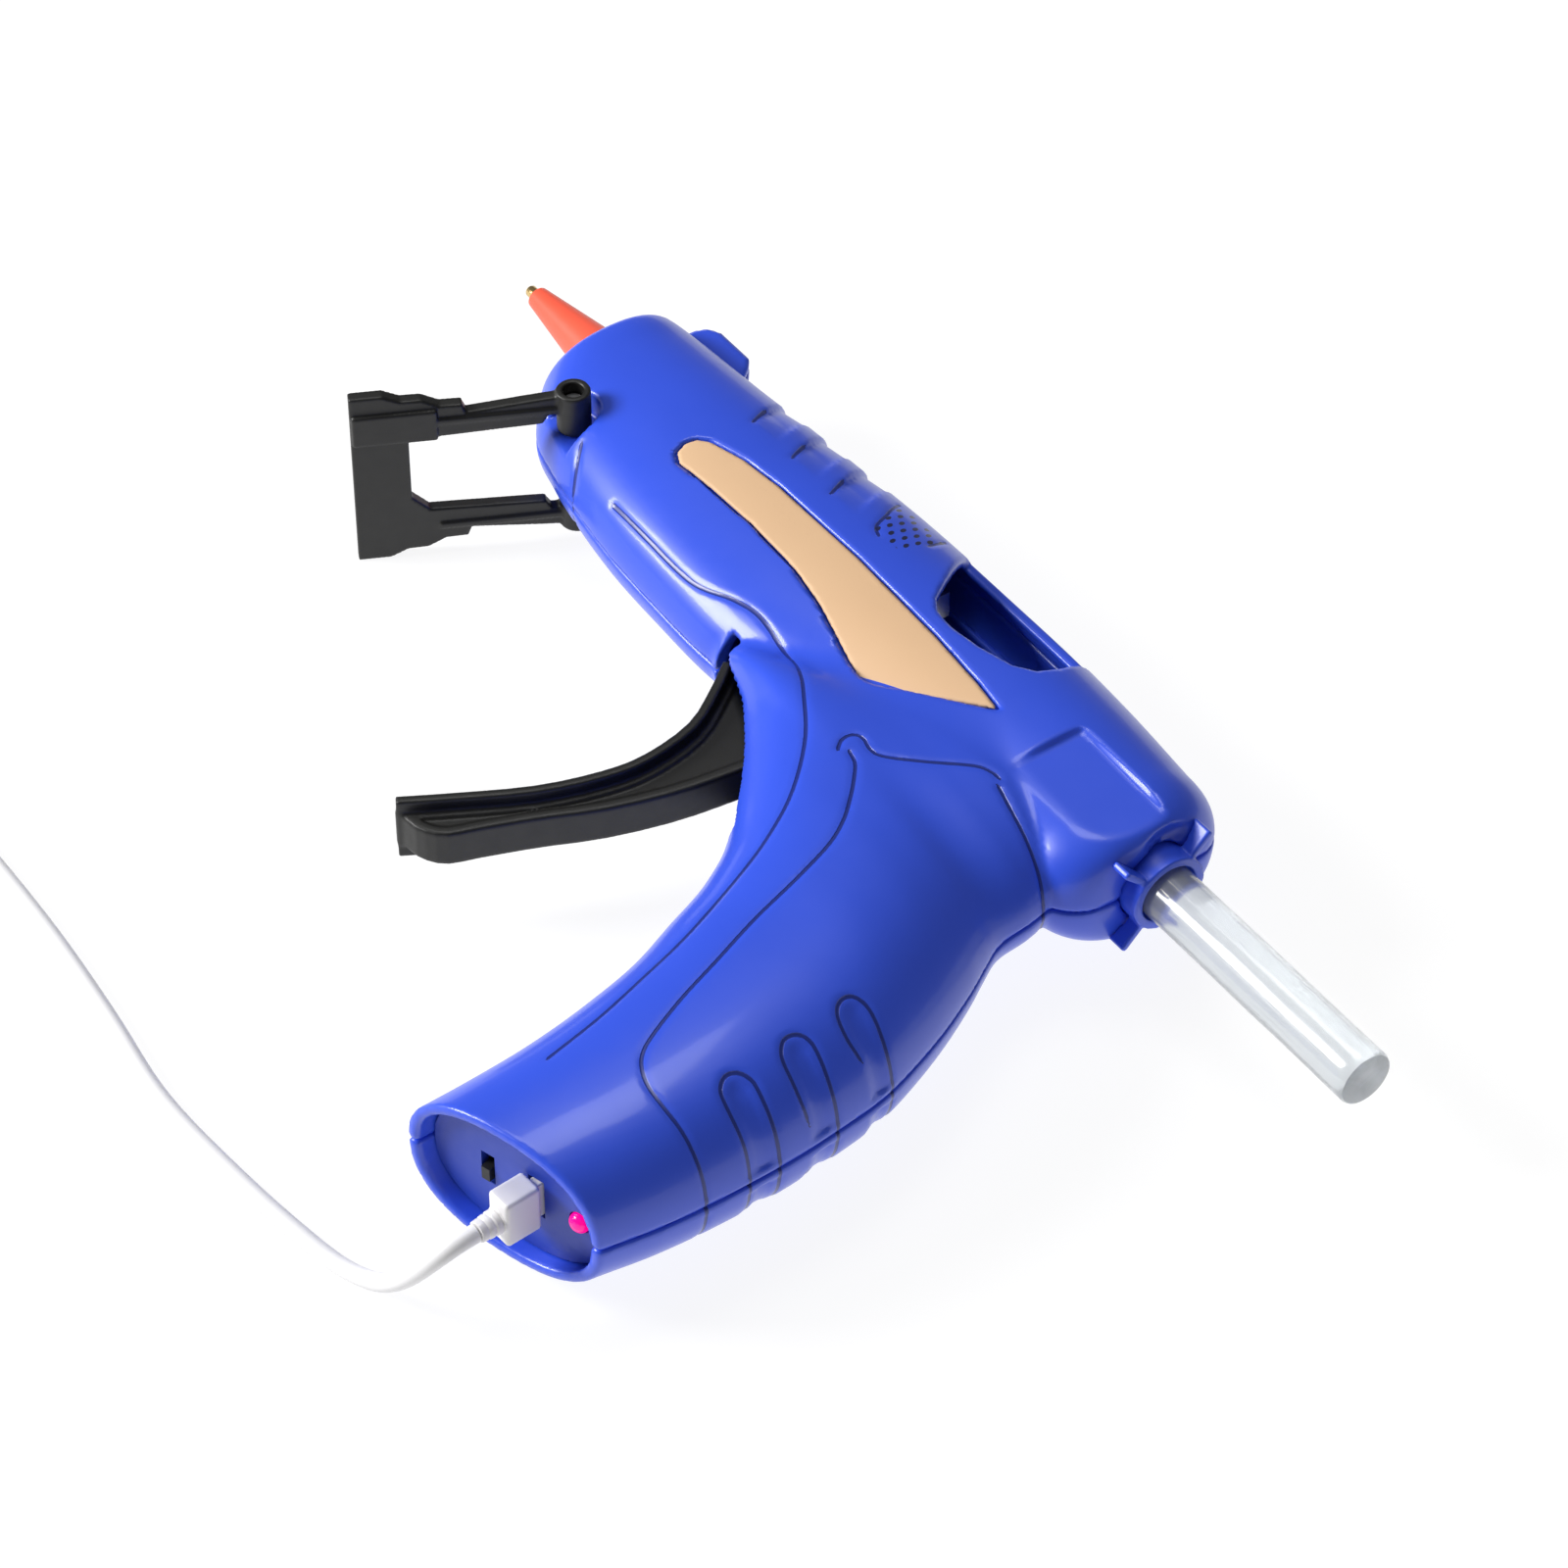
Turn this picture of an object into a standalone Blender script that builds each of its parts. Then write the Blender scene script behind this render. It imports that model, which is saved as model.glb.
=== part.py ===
"""Rechargeable hot-melt glue gun with its folding stand and charging lead.

The gun lies on its right side.  All sizes below are in millimetres and degrees,
and mm() turns them into metres where a mesh is made.  The design frame is the
gun's own: x runs back from the nozzle tip along the barrel axis, y runs to the
top of the gun, and z to its left side, so the two shells meet at z = 0.  The
empty called gun_frame moves that frame so that the origin lies under the
middle of the gun.
"""
import math

import bmesh
import bpy
import numpy as np
from mathutils import Matrix, Vector

# Fits
GAP = 0.3                 # between parts that touch on the real gun
RUNNING_GAP = 0.5         # round parts that slide or turn
STEPS = 24                # sides of a round part

# Glue stick
STICK_RADIUS = 5.6
STICK_OUT = 55.5          # how far the stick stands out behind the inlet

# Barrel: the front face stands NOZZLE_OUT behind the nozzle tip
NOZZLE_OUT = 29.0
BODY_LENGTH = 173.5
WALL = 2.2
SECTION_POWER = 2.3       # superellipse exponent of the barrel and the handle
BARREL_STATIONS = (       # share of the length, centre height, half-height, half-width
    (0.000, -1.0, 15.7, 12.0),
    (0.020, -2.2, 17.5, 12.7),
    (0.055, -4.2, 20.2, 13.3),
    (0.110, -5.4, 22.0, 14.0),
    (0.180, -6.2, 23.6, 14.6),
    (0.260, -6.5, 25.2, 15.0),
    (0.350, -6.4, 26.2, 15.0),
    (0.450, -6.0, 26.9, 15.0),
    (0.590, -4.0, 25.2, 15.0),
    (0.710, -2.6, 23.7, 15.0),
    (0.830, -2.0, 22.0, 15.0),
    (0.930, -1.5, 19.9, 14.6),
)
FRONT_LIP = 1.6           # edge break round the front face
NOSE_LENGTH = 12.5        # the rounded rear end
NOSE_SHARES = (0.35, 0.60, 0.80, 0.93, 1.0)
REAR_FACE_RADIUS = 9.4

# Handle: its x places are counted from the grip line, which moves with the rear
GRIP_FROM_REAR = 45.5
HANDLE_DROP = 137.3       # barrel axis to the middle of the butt
HANDLE_STATIONS = (       # share of the drop, front, rear, half-width
    (0.03, -16.0, 30.0, 12.0),
    (0.10, -25.0, 38.0, 14.6),
    (0.175, -35.0, 41.0, 15.8),
    (0.245, -44.0, 42.6, 16.7),
    (0.280, -32.5, 45.3, 17.1),
    (0.310, -25.6, 47.8, 17.4),
    (0.345, -18.8, 50.4, 17.8),
    (0.390, -11.4, 53.4, 18.1),
    (0.440, -3.8, 56.2, 18.4),
    (0.510, 2.8, 59.4, 18.5),
    (0.600, 8.2, 61.2, 18.5),
    (0.670, 12.2, 62.0, 18.3),
    (0.760, 15.3, 62.2, 17.8),
    (0.870, 17.6, 61.4, 17.0),
    (0.960, 18.3, 59.6, 16.3),
    (1.070, 18.5, 58.6, 15.8),
)
BUTT_OFFSET = 38.9        # middle of the butt, behind the grip line
BUTT_TILT = 16.5          # the butt faces down and back
BUTT_RECESS = 3.3
BUTT_PLATE_THICKNESS = 2.0

# Side openings and the inlay
WINDOW_FROM_GRIP = (      # outline of the inspection window, seen from the side
    (-38.0, 24.0), (-37.0, 19.0), (-30.0, 9.5), (-25.3, 3.0), (-22.0, 0.9), (-17.0, 0.4),
    (-10.0, 1.4), (-2.4, 3.6), (1.0, 6.6), (1.8, 11.0), (0.5, 18.0), (0.0, 24.0),
)
WINDOW_TOP_EDGE = 4.6     # the window stops this far from the middle plane
PEEP_SLOT = (-30.0, 14.6, 6.0, 2.0)   # x from the grip line, y, length, height
INLAY_FROM_FRONT = (      # outline of the coloured inlay
    (41.0, -8.2), (43.0, -6.4), (51.0, -4.2), (61.0, -3.1), (86.0, -2.7), (111.0, -3.6),
    (126.0, -4.8), (133.0, -5.8), (121.0, -14.6), (114.0, -19.4), (111.5, -20.0),
    (108.5, -19.6), (91.0, -15.2), (81.0, -13.6), (66.0, -13.0), (51.0, -13.6),
    (44.0, -14.2), (41.6, -13.0), (40.6, -10.6),
)
INLAY_THICKNESS = 0.9
INLAY_RECESS = 1.2
SIGHT_FROM_FRONT = (      # the fin on top of the front end
    (2.2, 12.0), (2.4, 18.4), (3.4, 20.9), (6.0, 22.2), (15.6, 22.2), (17.6, 20.6),
    (20.4, 17.0), (20.4, 12.0),
)
SIGHT_THICKNESS = 4.4

# Trigger slot, seen from the side, and its two half-widths
SLOT_FROM_GRIP = ((-45.0, -20.0), (-45.0, -0.306 * HANDLE_DROP), (-4.0, -0.4516 * HANDLE_DROP),
                  (-4.0, -48.0), (-14.0, -20.0))
SLOT_HALF_WIDTH = 7.7
REAR_SLOT_END = -0.437 * HANDLE_DROP
REAR_SLOT_FROM_GRIP = ((-20.0, -30.0), (-20.0, REAR_SLOT_END), (2.0, REAR_SLOT_END), (2.0, -30.0))

# Trigger, a curved bar of T section that turns on its pin
TRIGGER_PIVOT = (-33.0, -21.0)        # x from the grip line, y
TRIGGER_HALF_WIDTH = 7.0
TRIGGER_FACE = 1.9                    # thickness of the finger face
TRIGGER_WEB = 8.0                     # width of the bar behind the face
TRIGGER_FRONT = (                     # finger face, from the top down
    (-8.0, -13.4), (-3.4, -19.6), (1.7, -28.1), (3.7, -39.1), (2.7, -48.1), (-1.3, -60.1),
    (-8.3, -73.1), (-13.6, -82.2),
)
TRIGGER_BACK = (
    (15.4, -20.0), (14.8, -26.7), (12.8, -38.7), (8.8, -51.7), (3.8, -62.7), (-0.2, -72.7),
    (-2.6, -78.8), (-6.6, -81.8), (-11.6, -82.6),
)
TRIGGER_HUB_RADIUS = 4.4
TRIGGER_PIN_RADIUS = 1.5
PIN_BOSS_RADIUS = 3.4
LEVER_ARM = 10.5                      # pin to the link pin that pushes the carriage
LEVER_THICKNESS = 2.4
LINK_PIN_RADIUS = 1.2

# Feed carriage and clamp
CARRIAGE_LENGTH = 16.0
CARRIAGE_WALL = 1.8
CARRIAGE_SLOT = 5.0                   # window in the carriage that holds the clamp
CLAMP_THICKNESS = 1.6
CLAMP_RADIUS = 9.6
CLAMP_TAIL = 13.4                     # the clamp's top edge, on which it tips
SPRING_RADIUS = 2.0
SPRING_WIRE = 0.35
SPRING_TURNS = 8

# Heating chamber and nozzle
CHAMBER_LENGTH = 50.0
CHAMBER_RADIUS = 8.0
CHAMBER_FROM_TIP = 30.5
TIP_RADIUS = 1.25
NOZZLE_BASE_RADIUS = 4.4
SLEEVE_TIP_RADIUS = 2.1
SLEEVE_BASE_RADIUS = 6.0
SLEEVE_START = 1.8
THREAD_RADIUS = 3.0
THREAD_LENGTH = 7.0
HEATER_WIDTH = 12.0
HEATER_HEIGHT = 8.0
HEATER_LENGTH = 24.0
INLET_SLEEVE_WALL = 1.6
MOUNT_THICKNESS = 4.0

# Rear inlet collar with its four fins
COLLAR_WALL = 1.7
COLLAR_OUT = 4.0                      # how far the collar stands out of the rear face
FIN_REACH = 13.6                      # corner of a fin, from the barrel axis
FIN_THICKNESS = 1.4
FIN_ANGLE = 45.0

# Folding stand
STAND_PIVOT = (17.4, -20.5)           # x from the front face, y
STAND_ANGLE = -27.1                   # turn of its arms from straight down
STAND_REACH = 43.4
STAND_THICKNESS = 2.6
STAND_HUB_RADIUS = 3.4
STAND_BORE = 2.1
STAND_HUB_INNER = 7.6                 # the hubs reach from here ...
STAND_HUB_OUTER = 17.0                # ... to here, on both sides
STAND_PIN_RADIUS = 1.8
STAND_POCKET_RADIUS = 5.2
STAND_SIDE = (                        # outer edge of one arm: distance from the pivot, z
    (0.0, 16.6), (8.0, 16.0), (20.8, 14.8), (21.6, 16.9), (25.9, 17.0), (29.4, 18.9),
    (33.4, 19.0), (36.8, 20.8), (43.4, 20.8),
)
STAND_WINDOW = ((0.0, 12.0), (5.0, 12.0), (6.2, 10.0), (32.2, 9.2))   # inner edge of the arm
STAND_CHAMFER = 3.4

# Electronics in the handle
ELEMENT_HEIGHT = 2.6
ELEMENT_WIDTH = 8.6
MOUNT_FROM_CHAMBER = 4.0
MOUNT_WIDTH = 2.4
CLIP_PLACE = (3.0, 7.0)               # behind the sleeve's start
CLIP_WALL = 0.8
SHELL_SOLVER = "MANIFOLD"             # copes with the shells' nearly flush faces
FAR = 30.0                            # beyond the widest piece, for cutters
BATTERY_RADIUS = 9.2
BATTERY_LENGTH = 65.0
WIRE_START = (-7.0, 3.0, 7.0)         # on the board: along the butt, above the board, z
WIRE_IN_HANDLE = ((31.5, 0.8157, 11.0), (30.0, 0.6264, 12.0), (22.0, 0.437, 12.4),
                  (11.0, 0.3205, 11.0), (-2.0, 0.2404, 9.2))
WIRE_IN_BARREL = ((-22.0, -13.6, 8.7), (-46.0, -13.5, 8.9))
WIRE_TO_HEATER = ((14.0, -13.5, 8.6), (5.0, -100.0, 4.4), (0.6, -100.0, 2.6))
WIRE_STEP = 6.0
BATTERY_TILT = 5.0
BOARD_SIZE = (26.0, 1.6, 20.0)
BOARD_DEPTH = 13.0                    # above the rim of the butt
LED_RADIUS = 2.0
LED_OFFSET = 14.6                     # along the butt, from its middle
SWITCH_OFFSET = -5.7
SWITCH_SIZE = (3.0, 7.0)
SWITCH_TRAVEL = 2.0
SWITCH_KNOB = (1.8, 3.0)
SOCKET_OFFSET = 5.1
PLUG_TILT = 3.5                       # the plug points along the handle, not square to the butt
SOCKET_SIZE = (3.6, 6.0, 9.4)         # thickness, depth, width
PLUG_SIZE = (5.4, 7.4, 10.4)          # thickness, length, width
PLUG_TONGUE = (2.4, 8.4, 8.2)
PLUG_CLEAR = 0.95                     # plug and socket both stand this far off the slanted plate
RELIEF_RADIUS = 2.4
RELIEF_LENGTH = 4.2
WIRE_RADIUS = 0.7

# Screws: x from the front or the grip line, y
FRONT_SCREWS = ((30.0, -21.2), (68.0, -22.5))
GRIP_SCREWS = ((21.0, 11.6), (9.0, -31.0), (48.5, -0.4516 * HANDLE_DROP),
               (23.5, -0.8157 * HANDLE_DROP))
SCREW_RADIUS = 1.2
SCREW_HEAD_RADIUS = 2.5
SCREW_HEAD = 1.7
SCREW_SEAT = 6.5                      # the head's seat, from the middle plane
SCREW_REACH = 6.0                     # how far a screw enters the left shell
BOSS_RADIUS = 4.0

# Charging lead
CORD_RADIUS = 1.75
CORD_ROUTE = (       # x from the grip line, y from the middle of the butt, share of the plug's height
    (43.9, -13.5, 0.86), (42.6, -15.9, 0.66), (40.0, -17.7, 0.43), (37.0, -18.9, 0.26),
    (32.4, -20.5, 0.14), (24.8, -22.8, 0.02), (10.8, -25.3, 0.0), (-7.2, -27.3, 0.0),
    (-30.2, -28.3, 0.0), (-50.2, -25.9, 0.0), (-75.0, -23.7, 0.0), (-100.0, -22.9, 0.0),
    (-115.0, -22.7, 0.0),
)
CORD_STEP = 3.4
FLOOR = -max(z for distance, z in STAND_SIDE)   # the stand's right side touches the floor
CORD_REST = FLOOR + CORD_RADIUS + 0.15  # height of the cord's middle where it lies on the floor
COIL_X = -127.0                       # middle of the coil, from the grip line
COIL_RADIUS = 19.5                    # middle of the turns
COIL_WIDTH = 11.0
COIL_HEIGHT = 7.4
TIE_WIDTH = 7.0
TIE_THICKNESS = 1.2
FAR_RELIEF_LENGTH = 16.0
FAR_PLUG_BODY = (21.0, 7.8, 15.6)
FAR_PLUG_SHELL = (15.0, 4.5, 12.0)
FAR_PLUG_WALL = 0.5

LEAD_PARTS = ("usb_plug", "plug_relief", "usb_cord", "cord_coil", "cord_tie", "far_relief",
              "far_plug_body", "far_plug_shell")

BODY_FRONT = NOZZLE_OUT
BODY_REAR = BODY_FRONT + BODY_LENGTH
GRIP = BODY_REAR - GRIP_FROM_REAR
PIVOT = (GRIP + TRIGGER_PIVOT[0], TRIGGER_PIVOT[1])
STAND_HUB = (BODY_FRONT + STAND_PIVOT[0], STAND_PIVOT[1])
BUTT_MIDDLE = (GRIP + BUTT_OFFSET, -HANDLE_DROP)
CHAMBER_START = CHAMBER_FROM_TIP
CHAMBER_END = CHAMBER_START + CHAMBER_LENGTH
STICK_BORE = STICK_RADIUS + RUNNING_GAP

for old in list(bpy.data.objects):
    bpy.data.objects.remove(old, do_unlink=True)


def collection(name):
    """A new collection in the scene."""
    group = bpy.data.collections.new(name)
    bpy.context.scene.collection.children.link(group)
    return group


PARTS = collection("glue_gun")
CUTTERS = collection("cutters")
FRAME = bpy.data.objects.new("gun_frame", None)
PARTS.objects.link(FRAME)


def mm(values):
    """Millimetres to metres, for a number or a list of numbers."""
    return np.asarray(values, dtype=float) * 0.001


def material(name, colour, roughness=0.5, metallic=0.0):
    """One Principled material, with its colour, roughness and metallic value."""
    made = bpy.data.materials.new(name)
    made.use_nodes = True
    shader = made.node_tree.nodes["Principled BSDF"]
    shader.inputs["Base Color"].default_value = (*colour, 1.0)
    shader.inputs["Roughness"].default_value = roughness
    shader.inputs["Metallic"].default_value = metallic
    return made


BLUE = material("blue_shell", (0.05, 0.10, 0.75), 0.35)
TAN = material("tan_inlay", (0.80, 0.52, 0.29), 0.6)
BLACK = material("black_plastic", (0.02, 0.02, 0.02), 0.5)
SILICONE = material("orange_silicone", (1.0, 0.14, 0.08), 0.45)
BRASS = material("brass", (0.80, 0.58, 0.22), 0.3, 1.0)
ALUMINIUM = material("aluminium", (0.75, 0.76, 0.78), 0.4, 1.0)
STEEL = material("steel", (0.6, 0.6, 0.62), 0.3, 1.0)
GLUE = material("clear_glue", (0.8, 0.85, 0.86), 0.2)
CERAMIC = material("ceramic", (0.86, 0.84, 0.78), 0.6)
BOARD = material("circuit_board", (0.02, 0.25, 0.08), 0.5)
CELL = material("battery_wrap", (0.10, 0.45, 0.30), 0.4)
PINK = material("led_pink", (1.0, 0.0, 0.2), 0.2)
WHITE = material("white_plastic", (0.85, 0.84, 0.83), 0.4)
RED_WIRE = material("red_wire", (0.6, 0.02, 0.02), 0.5)
BLACK_WIRE = material("black_wire", (0.02, 0.02, 0.02), 0.5)


# ---------------------------------------------------------------- mesh helpers

def add(name, mesh, look=None):
    """Put a mesh in the scene as a part, or as a cutter when it has no look."""
    made = bpy.data.objects.new(name, mesh)
    if look is None:
        CUTTERS.objects.link(made)
        made.hide_render = True
        made.display_type = "WIRE"
    else:
        PARTS.objects.link(made)
        mesh.materials.append(look)
        mesh.shade_smooth()
        mesh.set_sharp_from_angle(angle=math.radians(35.0))
    made.parent = FRAME
    return made


def from_bmesh(name, bm, look=None):
    """A part or cutter from a bmesh, which is freed."""
    bmesh.ops.recalc_face_normals(bm, faces=bm.faces)
    mesh = bpy.data.meshes.new(name)
    bm.to_mesh(mesh)
    bm.free()
    return add(name, mesh, look)


def boolean(target, tool, operation, solver="EXACT"):
    """Cut, join or keep what the target shares with the tool."""
    change = target.modifiers.new(operation.lower() + "_" + tool.name, "BOOLEAN")
    change.operation = operation
    change.solver = solver
    change.object = tool
    return target


def cut(target, *tools, solver="EXACT"):
    """Take each tool's solid out of the target."""
    for tool in tools:
        boolean(target, tool, "DIFFERENCE", solver)
    return target


def join(target, *tools, solver="EXACT"):
    """Add each tool's solid to the target."""
    for tool in tools:
        boolean(target, tool, "UNION", solver)
    return target


def bevel(target, width, segments=2):
    """Round the sharp edges of a part."""
    change = target.modifiers.new("rounded_edges", "BEVEL")
    change.width = float(mm(width))
    change.segments = segments
    change.limit_method = "ANGLE"
    change.angle_limit = math.radians(40.0)
    return target


def box(name, low, high, look=None):
    """A block between two corners."""
    low, high = mm(low), mm(high)
    bm = bmesh.new()
    size = Matrix.Diagonal((*(high - low), 1.0))
    bmesh.ops.create_cube(bm, size=1.0, matrix=Matrix.Translation((low + high) / 2.0) @ size)
    return from_bmesh(name, bm, look)


def rod(name, start, end, radius, look=None, end_radius=None, steps=STEPS):
    """A cylinder or cone between two points."""
    start, end = Vector(mm(start)), Vector(mm(end))
    along = end - start
    turn = Vector((0.0, 0.0, 1.0)).rotation_difference(along).to_matrix().to_4x4()
    bm = bmesh.new()
    bmesh.ops.create_cone(
        bm, cap_ends=True, segments=steps,
        radius1=float(mm(radius)), radius2=float(mm(radius if end_radius is None else end_radius)),
        depth=along.length, matrix=Matrix.Translation((start + end) / 2.0) @ turn)
    return from_bmesh(name, bm, look)


def turned(name, profile, look=None, start=(0.0, 0.0, 0.0), axis=(1.0, 0.0, 0.0), steps=STEPS):
    """A turned solid: profile is a closed run of (radius, distance along the axis)."""
    turn = Vector((0.0, 0.0, 1.0)).rotation_difference(Vector(axis)).to_matrix().to_4x4()
    place = Matrix.Translation(Vector(mm(start))) @ turn
    points = [(float(mm(radius)), 0.0, float(mm(along))) for radius, along in profile]
    outline = bpy.data.meshes.new(name)
    edges = [(i, (i + 1) % len(points)) for i in range(len(points))]
    on_axis = [i for i, (radius, along) in enumerate(profile) if radius == 0.0]
    edges = [edge for edge in edges if not (edge[0] in on_axis and edge[1] in on_axis)]
    outline.from_pydata(points, edges, [])
    made = add(name, outline, look)
    made.matrix_local = place
    screw = made.modifiers.new("turned", "SCREW")
    screw.axis = "Z"
    screw.steps = steps
    screw.render_steps = steps
    screw.use_merge_vertices = True
    screw.merge_threshold = 0.00001
    screw.use_smooth_shade = True
    return made


def slab(name, outline, low, high, look=None):
    """A flat outline in x and y, filled and extruded from z = low to z = high."""
    curve = bpy.data.curves.new(name, "CURVE")
    curve.dimensions = "2D"
    curve.fill_mode = "BOTH"
    curve.extrude = float(mm(high - low)) / 2.0
    spline = curve.splines.new("POLY")
    spline.points.add(len(outline) - 1)
    for point, (x, y) in zip(spline.points, outline):
        point.co = (*mm((x, y)), 0.0, 1.0)
    spline.use_cyclic_u = True
    flat = bpy.data.objects.new(name + "_outline", curve)
    bpy.context.scene.collection.objects.link(flat)
    flat.location.z = float(mm(low + high)) / 2.0
    return curve_to_part(flat, name, look)


def curve_to_part(curve_object, name, look):
    """Turn a curve object into a welded mesh part in the same place."""
    bpy.context.view_layer.update()
    seen = curve_object.evaluated_get(bpy.context.evaluated_depsgraph_get())
    mesh = bpy.data.meshes.new_from_object(seen)
    mesh.name = name
    bm = bmesh.new()
    bm.from_mesh(mesh)
    bmesh.ops.remove_doubles(bm, verts=bm.verts, dist=0.000001)
    bmesh.ops.transform(bm, matrix=curve_object.matrix_world, verts=bm.verts)
    bmesh.ops.recalc_face_normals(bm, faces=bm.faces)
    bm.to_mesh(mesh)
    bm.free()
    mesh.materials.clear()
    bpy.data.objects.remove(curve_object, do_unlink=True)
    return add(name, mesh, look)


def tube(name, points, radius, look, resolution=2):
    """A round tube along the given points."""
    curve = bpy.data.curves.new(name, "CURVE")
    curve.dimensions = "3D"
    curve.bevel_depth = float(mm(radius))
    curve.bevel_resolution = resolution
    curve.use_fill_caps = True
    spline = curve.splines.new("POLY")
    spline.points.add(len(points) - 1)
    for point, place in zip(spline.points, points):
        point.co = (*mm(place), 1.0)
    line = bpy.data.objects.new(name + "_line", curve)
    bpy.context.scene.collection.objects.link(line)
    return curve_to_part(line, name, look)


def smooth_table(table, at):
    """Read a table of stations at new places with a cubic through its rows.

    The slope at each row is the weighted mean of the slopes on both sides.
    """
    rows = np.asarray(table, dtype=float)
    key, values = rows[:, 0], rows[:, 1:]
    step = np.diff(key)[:, None]
    rise = np.diff(values, axis=0) / step
    slope = np.vstack([rise[:1], (rise[1:] * step[:-1] + rise[:-1] * step[1:])
                       / (step[1:] + step[:-1]), rise[-1:]])
    at = np.clip(np.asarray(at, dtype=float), key[0], key[-1])
    row = np.clip(np.searchsorted(key, at) - 1, 0, len(key) - 2)
    span = step[row]
    t = ((at - key[row])[:, None]) / span
    return ((2 * t**3 - 3 * t**2 + 1) * values[row] + (t**3 - 2 * t**2 + t) * span * slope[row]
            + (3 * t**2 - 2 * t**3) * values[row + 1] + (t**3 - t**2) * span * slope[row + 1])


def smooth_path(points, step):
    """Points a step apart along a smooth curve through the given points."""
    points = np.asarray(points, dtype=float)
    chord = np.r_[0.0, np.cumsum(np.linalg.norm(np.diff(points, axis=0), axis=1))]
    fine = smooth_table(np.column_stack([chord, points]), np.linspace(0.0, chord[-1], 600))
    length = np.r_[0.0, np.cumsum(np.linalg.norm(np.diff(fine, axis=0), axis=1))]
    count = max(2, int(round(length[-1] / step)) + 1)
    even = np.linspace(0.0, length[-1], count)
    return np.column_stack([np.interp(even, length, fine[:, i]) for i in range(3)])


def smooth_line(points, count):
    """A smooth curve in x and y through the given points, as count points."""
    rows = [(number, *point) for number, point in enumerate(points)]
    return smooth_table(rows, np.linspace(0.0, len(rows) - 1.0, count))


def oval(half_a, half_b, count):
    """Points of a superellipse with the body's section exponent."""
    angle = np.arange(count) * 2.0 * math.pi / count
    power = 2.0 / SECTION_POWER
    return np.column_stack([
        half_a * np.sign(np.cos(angle)) * np.abs(np.cos(angle)) ** power,
        half_b * np.sign(np.sin(angle)) * np.abs(np.sin(angle)) ** power])


def loft(name, rings, look=None):
    """A closed solid through a row of rings with equal point counts."""
    rings = mm(rings)
    count = rings.shape[1]
    bm = bmesh.new()
    made = [[bm.verts.new(point) for point in ring] for ring in rings]
    for first, second in zip(made, made[1:]):
        for i in range(count):
            j = (i + 1) % count
            bm.faces.new((first[i], first[j], second[j], second[i]))
    bm.faces.new(made[0])
    bm.faces.new(made[-1][::-1])
    return from_bmesh(name, bm, look)


# ---------------------------------------------------------------- body shape

def barrel(name, inset=0.0, front=0.0, rear=0.0, sides=32):
    """The barrel's solid, shrunk by an inset; front and rear trim its ends."""
    nose = NOSE_LENGTH / BODY_LENGTH
    shares = np.r_[0.0, 0.012, np.linspace(0.0, 1.0 - nose, 15)[1:],
                   1.0 - nose * (1.0 - np.array(NOSE_SHARES))]
    places = BODY_FRONT + shares * BODY_LENGTH
    depth = np.clip((shares - 1.0 + nose) / nose, 0.0, 1.0)
    fullness = (1.0 - depth**SECTION_POWER) ** (1.0 / SECTION_POWER)
    lip = np.where(shares == 0.0, FRONT_LIP, 0.0)
    rows = smooth_table(BARREL_STATIONS, shares)
    centre = rows[:, 0] * fullness
    half_sizes = REAR_FACE_RADIUS + (rows[:, 1:] - REAR_FACE_RADIUS) * fullness[:, None]
    half_sizes -= lip[:, None] + inset
    places = np.clip(places, BODY_FRONT + front, BODY_REAR - rear)
    rings = []
    for x, y, (half_height, half_width) in zip(places, centre, half_sizes):
        section = oval(half_height, half_width, sides)
        rings.append(np.column_stack([np.full(len(section), x), section[:, 0] + y, section[:, 1]]))
    return loft(name, np.array(rings))


def handle(name, inset=0.0, sides=32):
    """The handle's solid, shrunk by an inset: level slices from the barrel down."""
    shares = np.r_[np.linspace(0.03, 0.40, 12), np.linspace(0.44, 1.07, 11)]
    rows = smooth_table(HANDLE_STATIONS, shares)
    rings = []
    for share, (front, rear, half_width) in zip(shares, rows):
        section = oval((rear - front) / 2.0 - inset, half_width - inset, sides)
        rings.append(np.column_stack([GRIP + (front + rear) / 2.0 + section[:, 0],
                                      np.full(len(section), -share * HANDLE_DROP), section[:, 1]]))
    return loft(name, np.array(rings))


def butt_point(along, up, z=0.0):
    """A point in the butt's frame: along its face, up into the handle, and z."""
    tilt = math.radians(BUTT_TILT)
    return (BUTT_MIDDLE[0] + along * math.cos(tilt) - up * math.sin(tilt),
            BUTT_MIDDLE[1] + along * math.sin(tilt) + up * math.cos(tilt), z)


def butt_box(name, along, up, z, look=None):
    """A block given by its (low, high) range along, up and across the butt."""
    made = box(name, (along[0], up[0], z[0]), (along[1], up[1], z[1]), look)
    made.location = mm((*BUTT_MIDDLE, 0.0))
    made.rotation_euler.z = math.radians(BUTT_TILT)
    return made


def lead_box(name, across, up, z, look=None):
    """A block in the plug's frame: its middle is where the plug meets the butt plate."""
    made = box(name, (across[0], up[0], z[0]), (across[1], up[1], z[1]), look)
    made.location = mm(butt_point(SOCKET_OFFSET, BUTT_RECESS))
    made.rotation_euler.z = math.radians(PLUG_TILT)
    return made


def lead_point(up):
    """A point on the plug's axis, counted up from where it meets the butt plate."""
    x, y, z = butt_point(SOCKET_OFFSET, BUTT_RECESS)
    tilt = math.radians(PLUG_TILT)
    return np.array((x - up * math.sin(tilt), y + up * math.cos(tilt), z))


def shifted(outline, x):
    """An outline moved along x."""
    return [(x + px, y) for px, y in outline]


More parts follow.
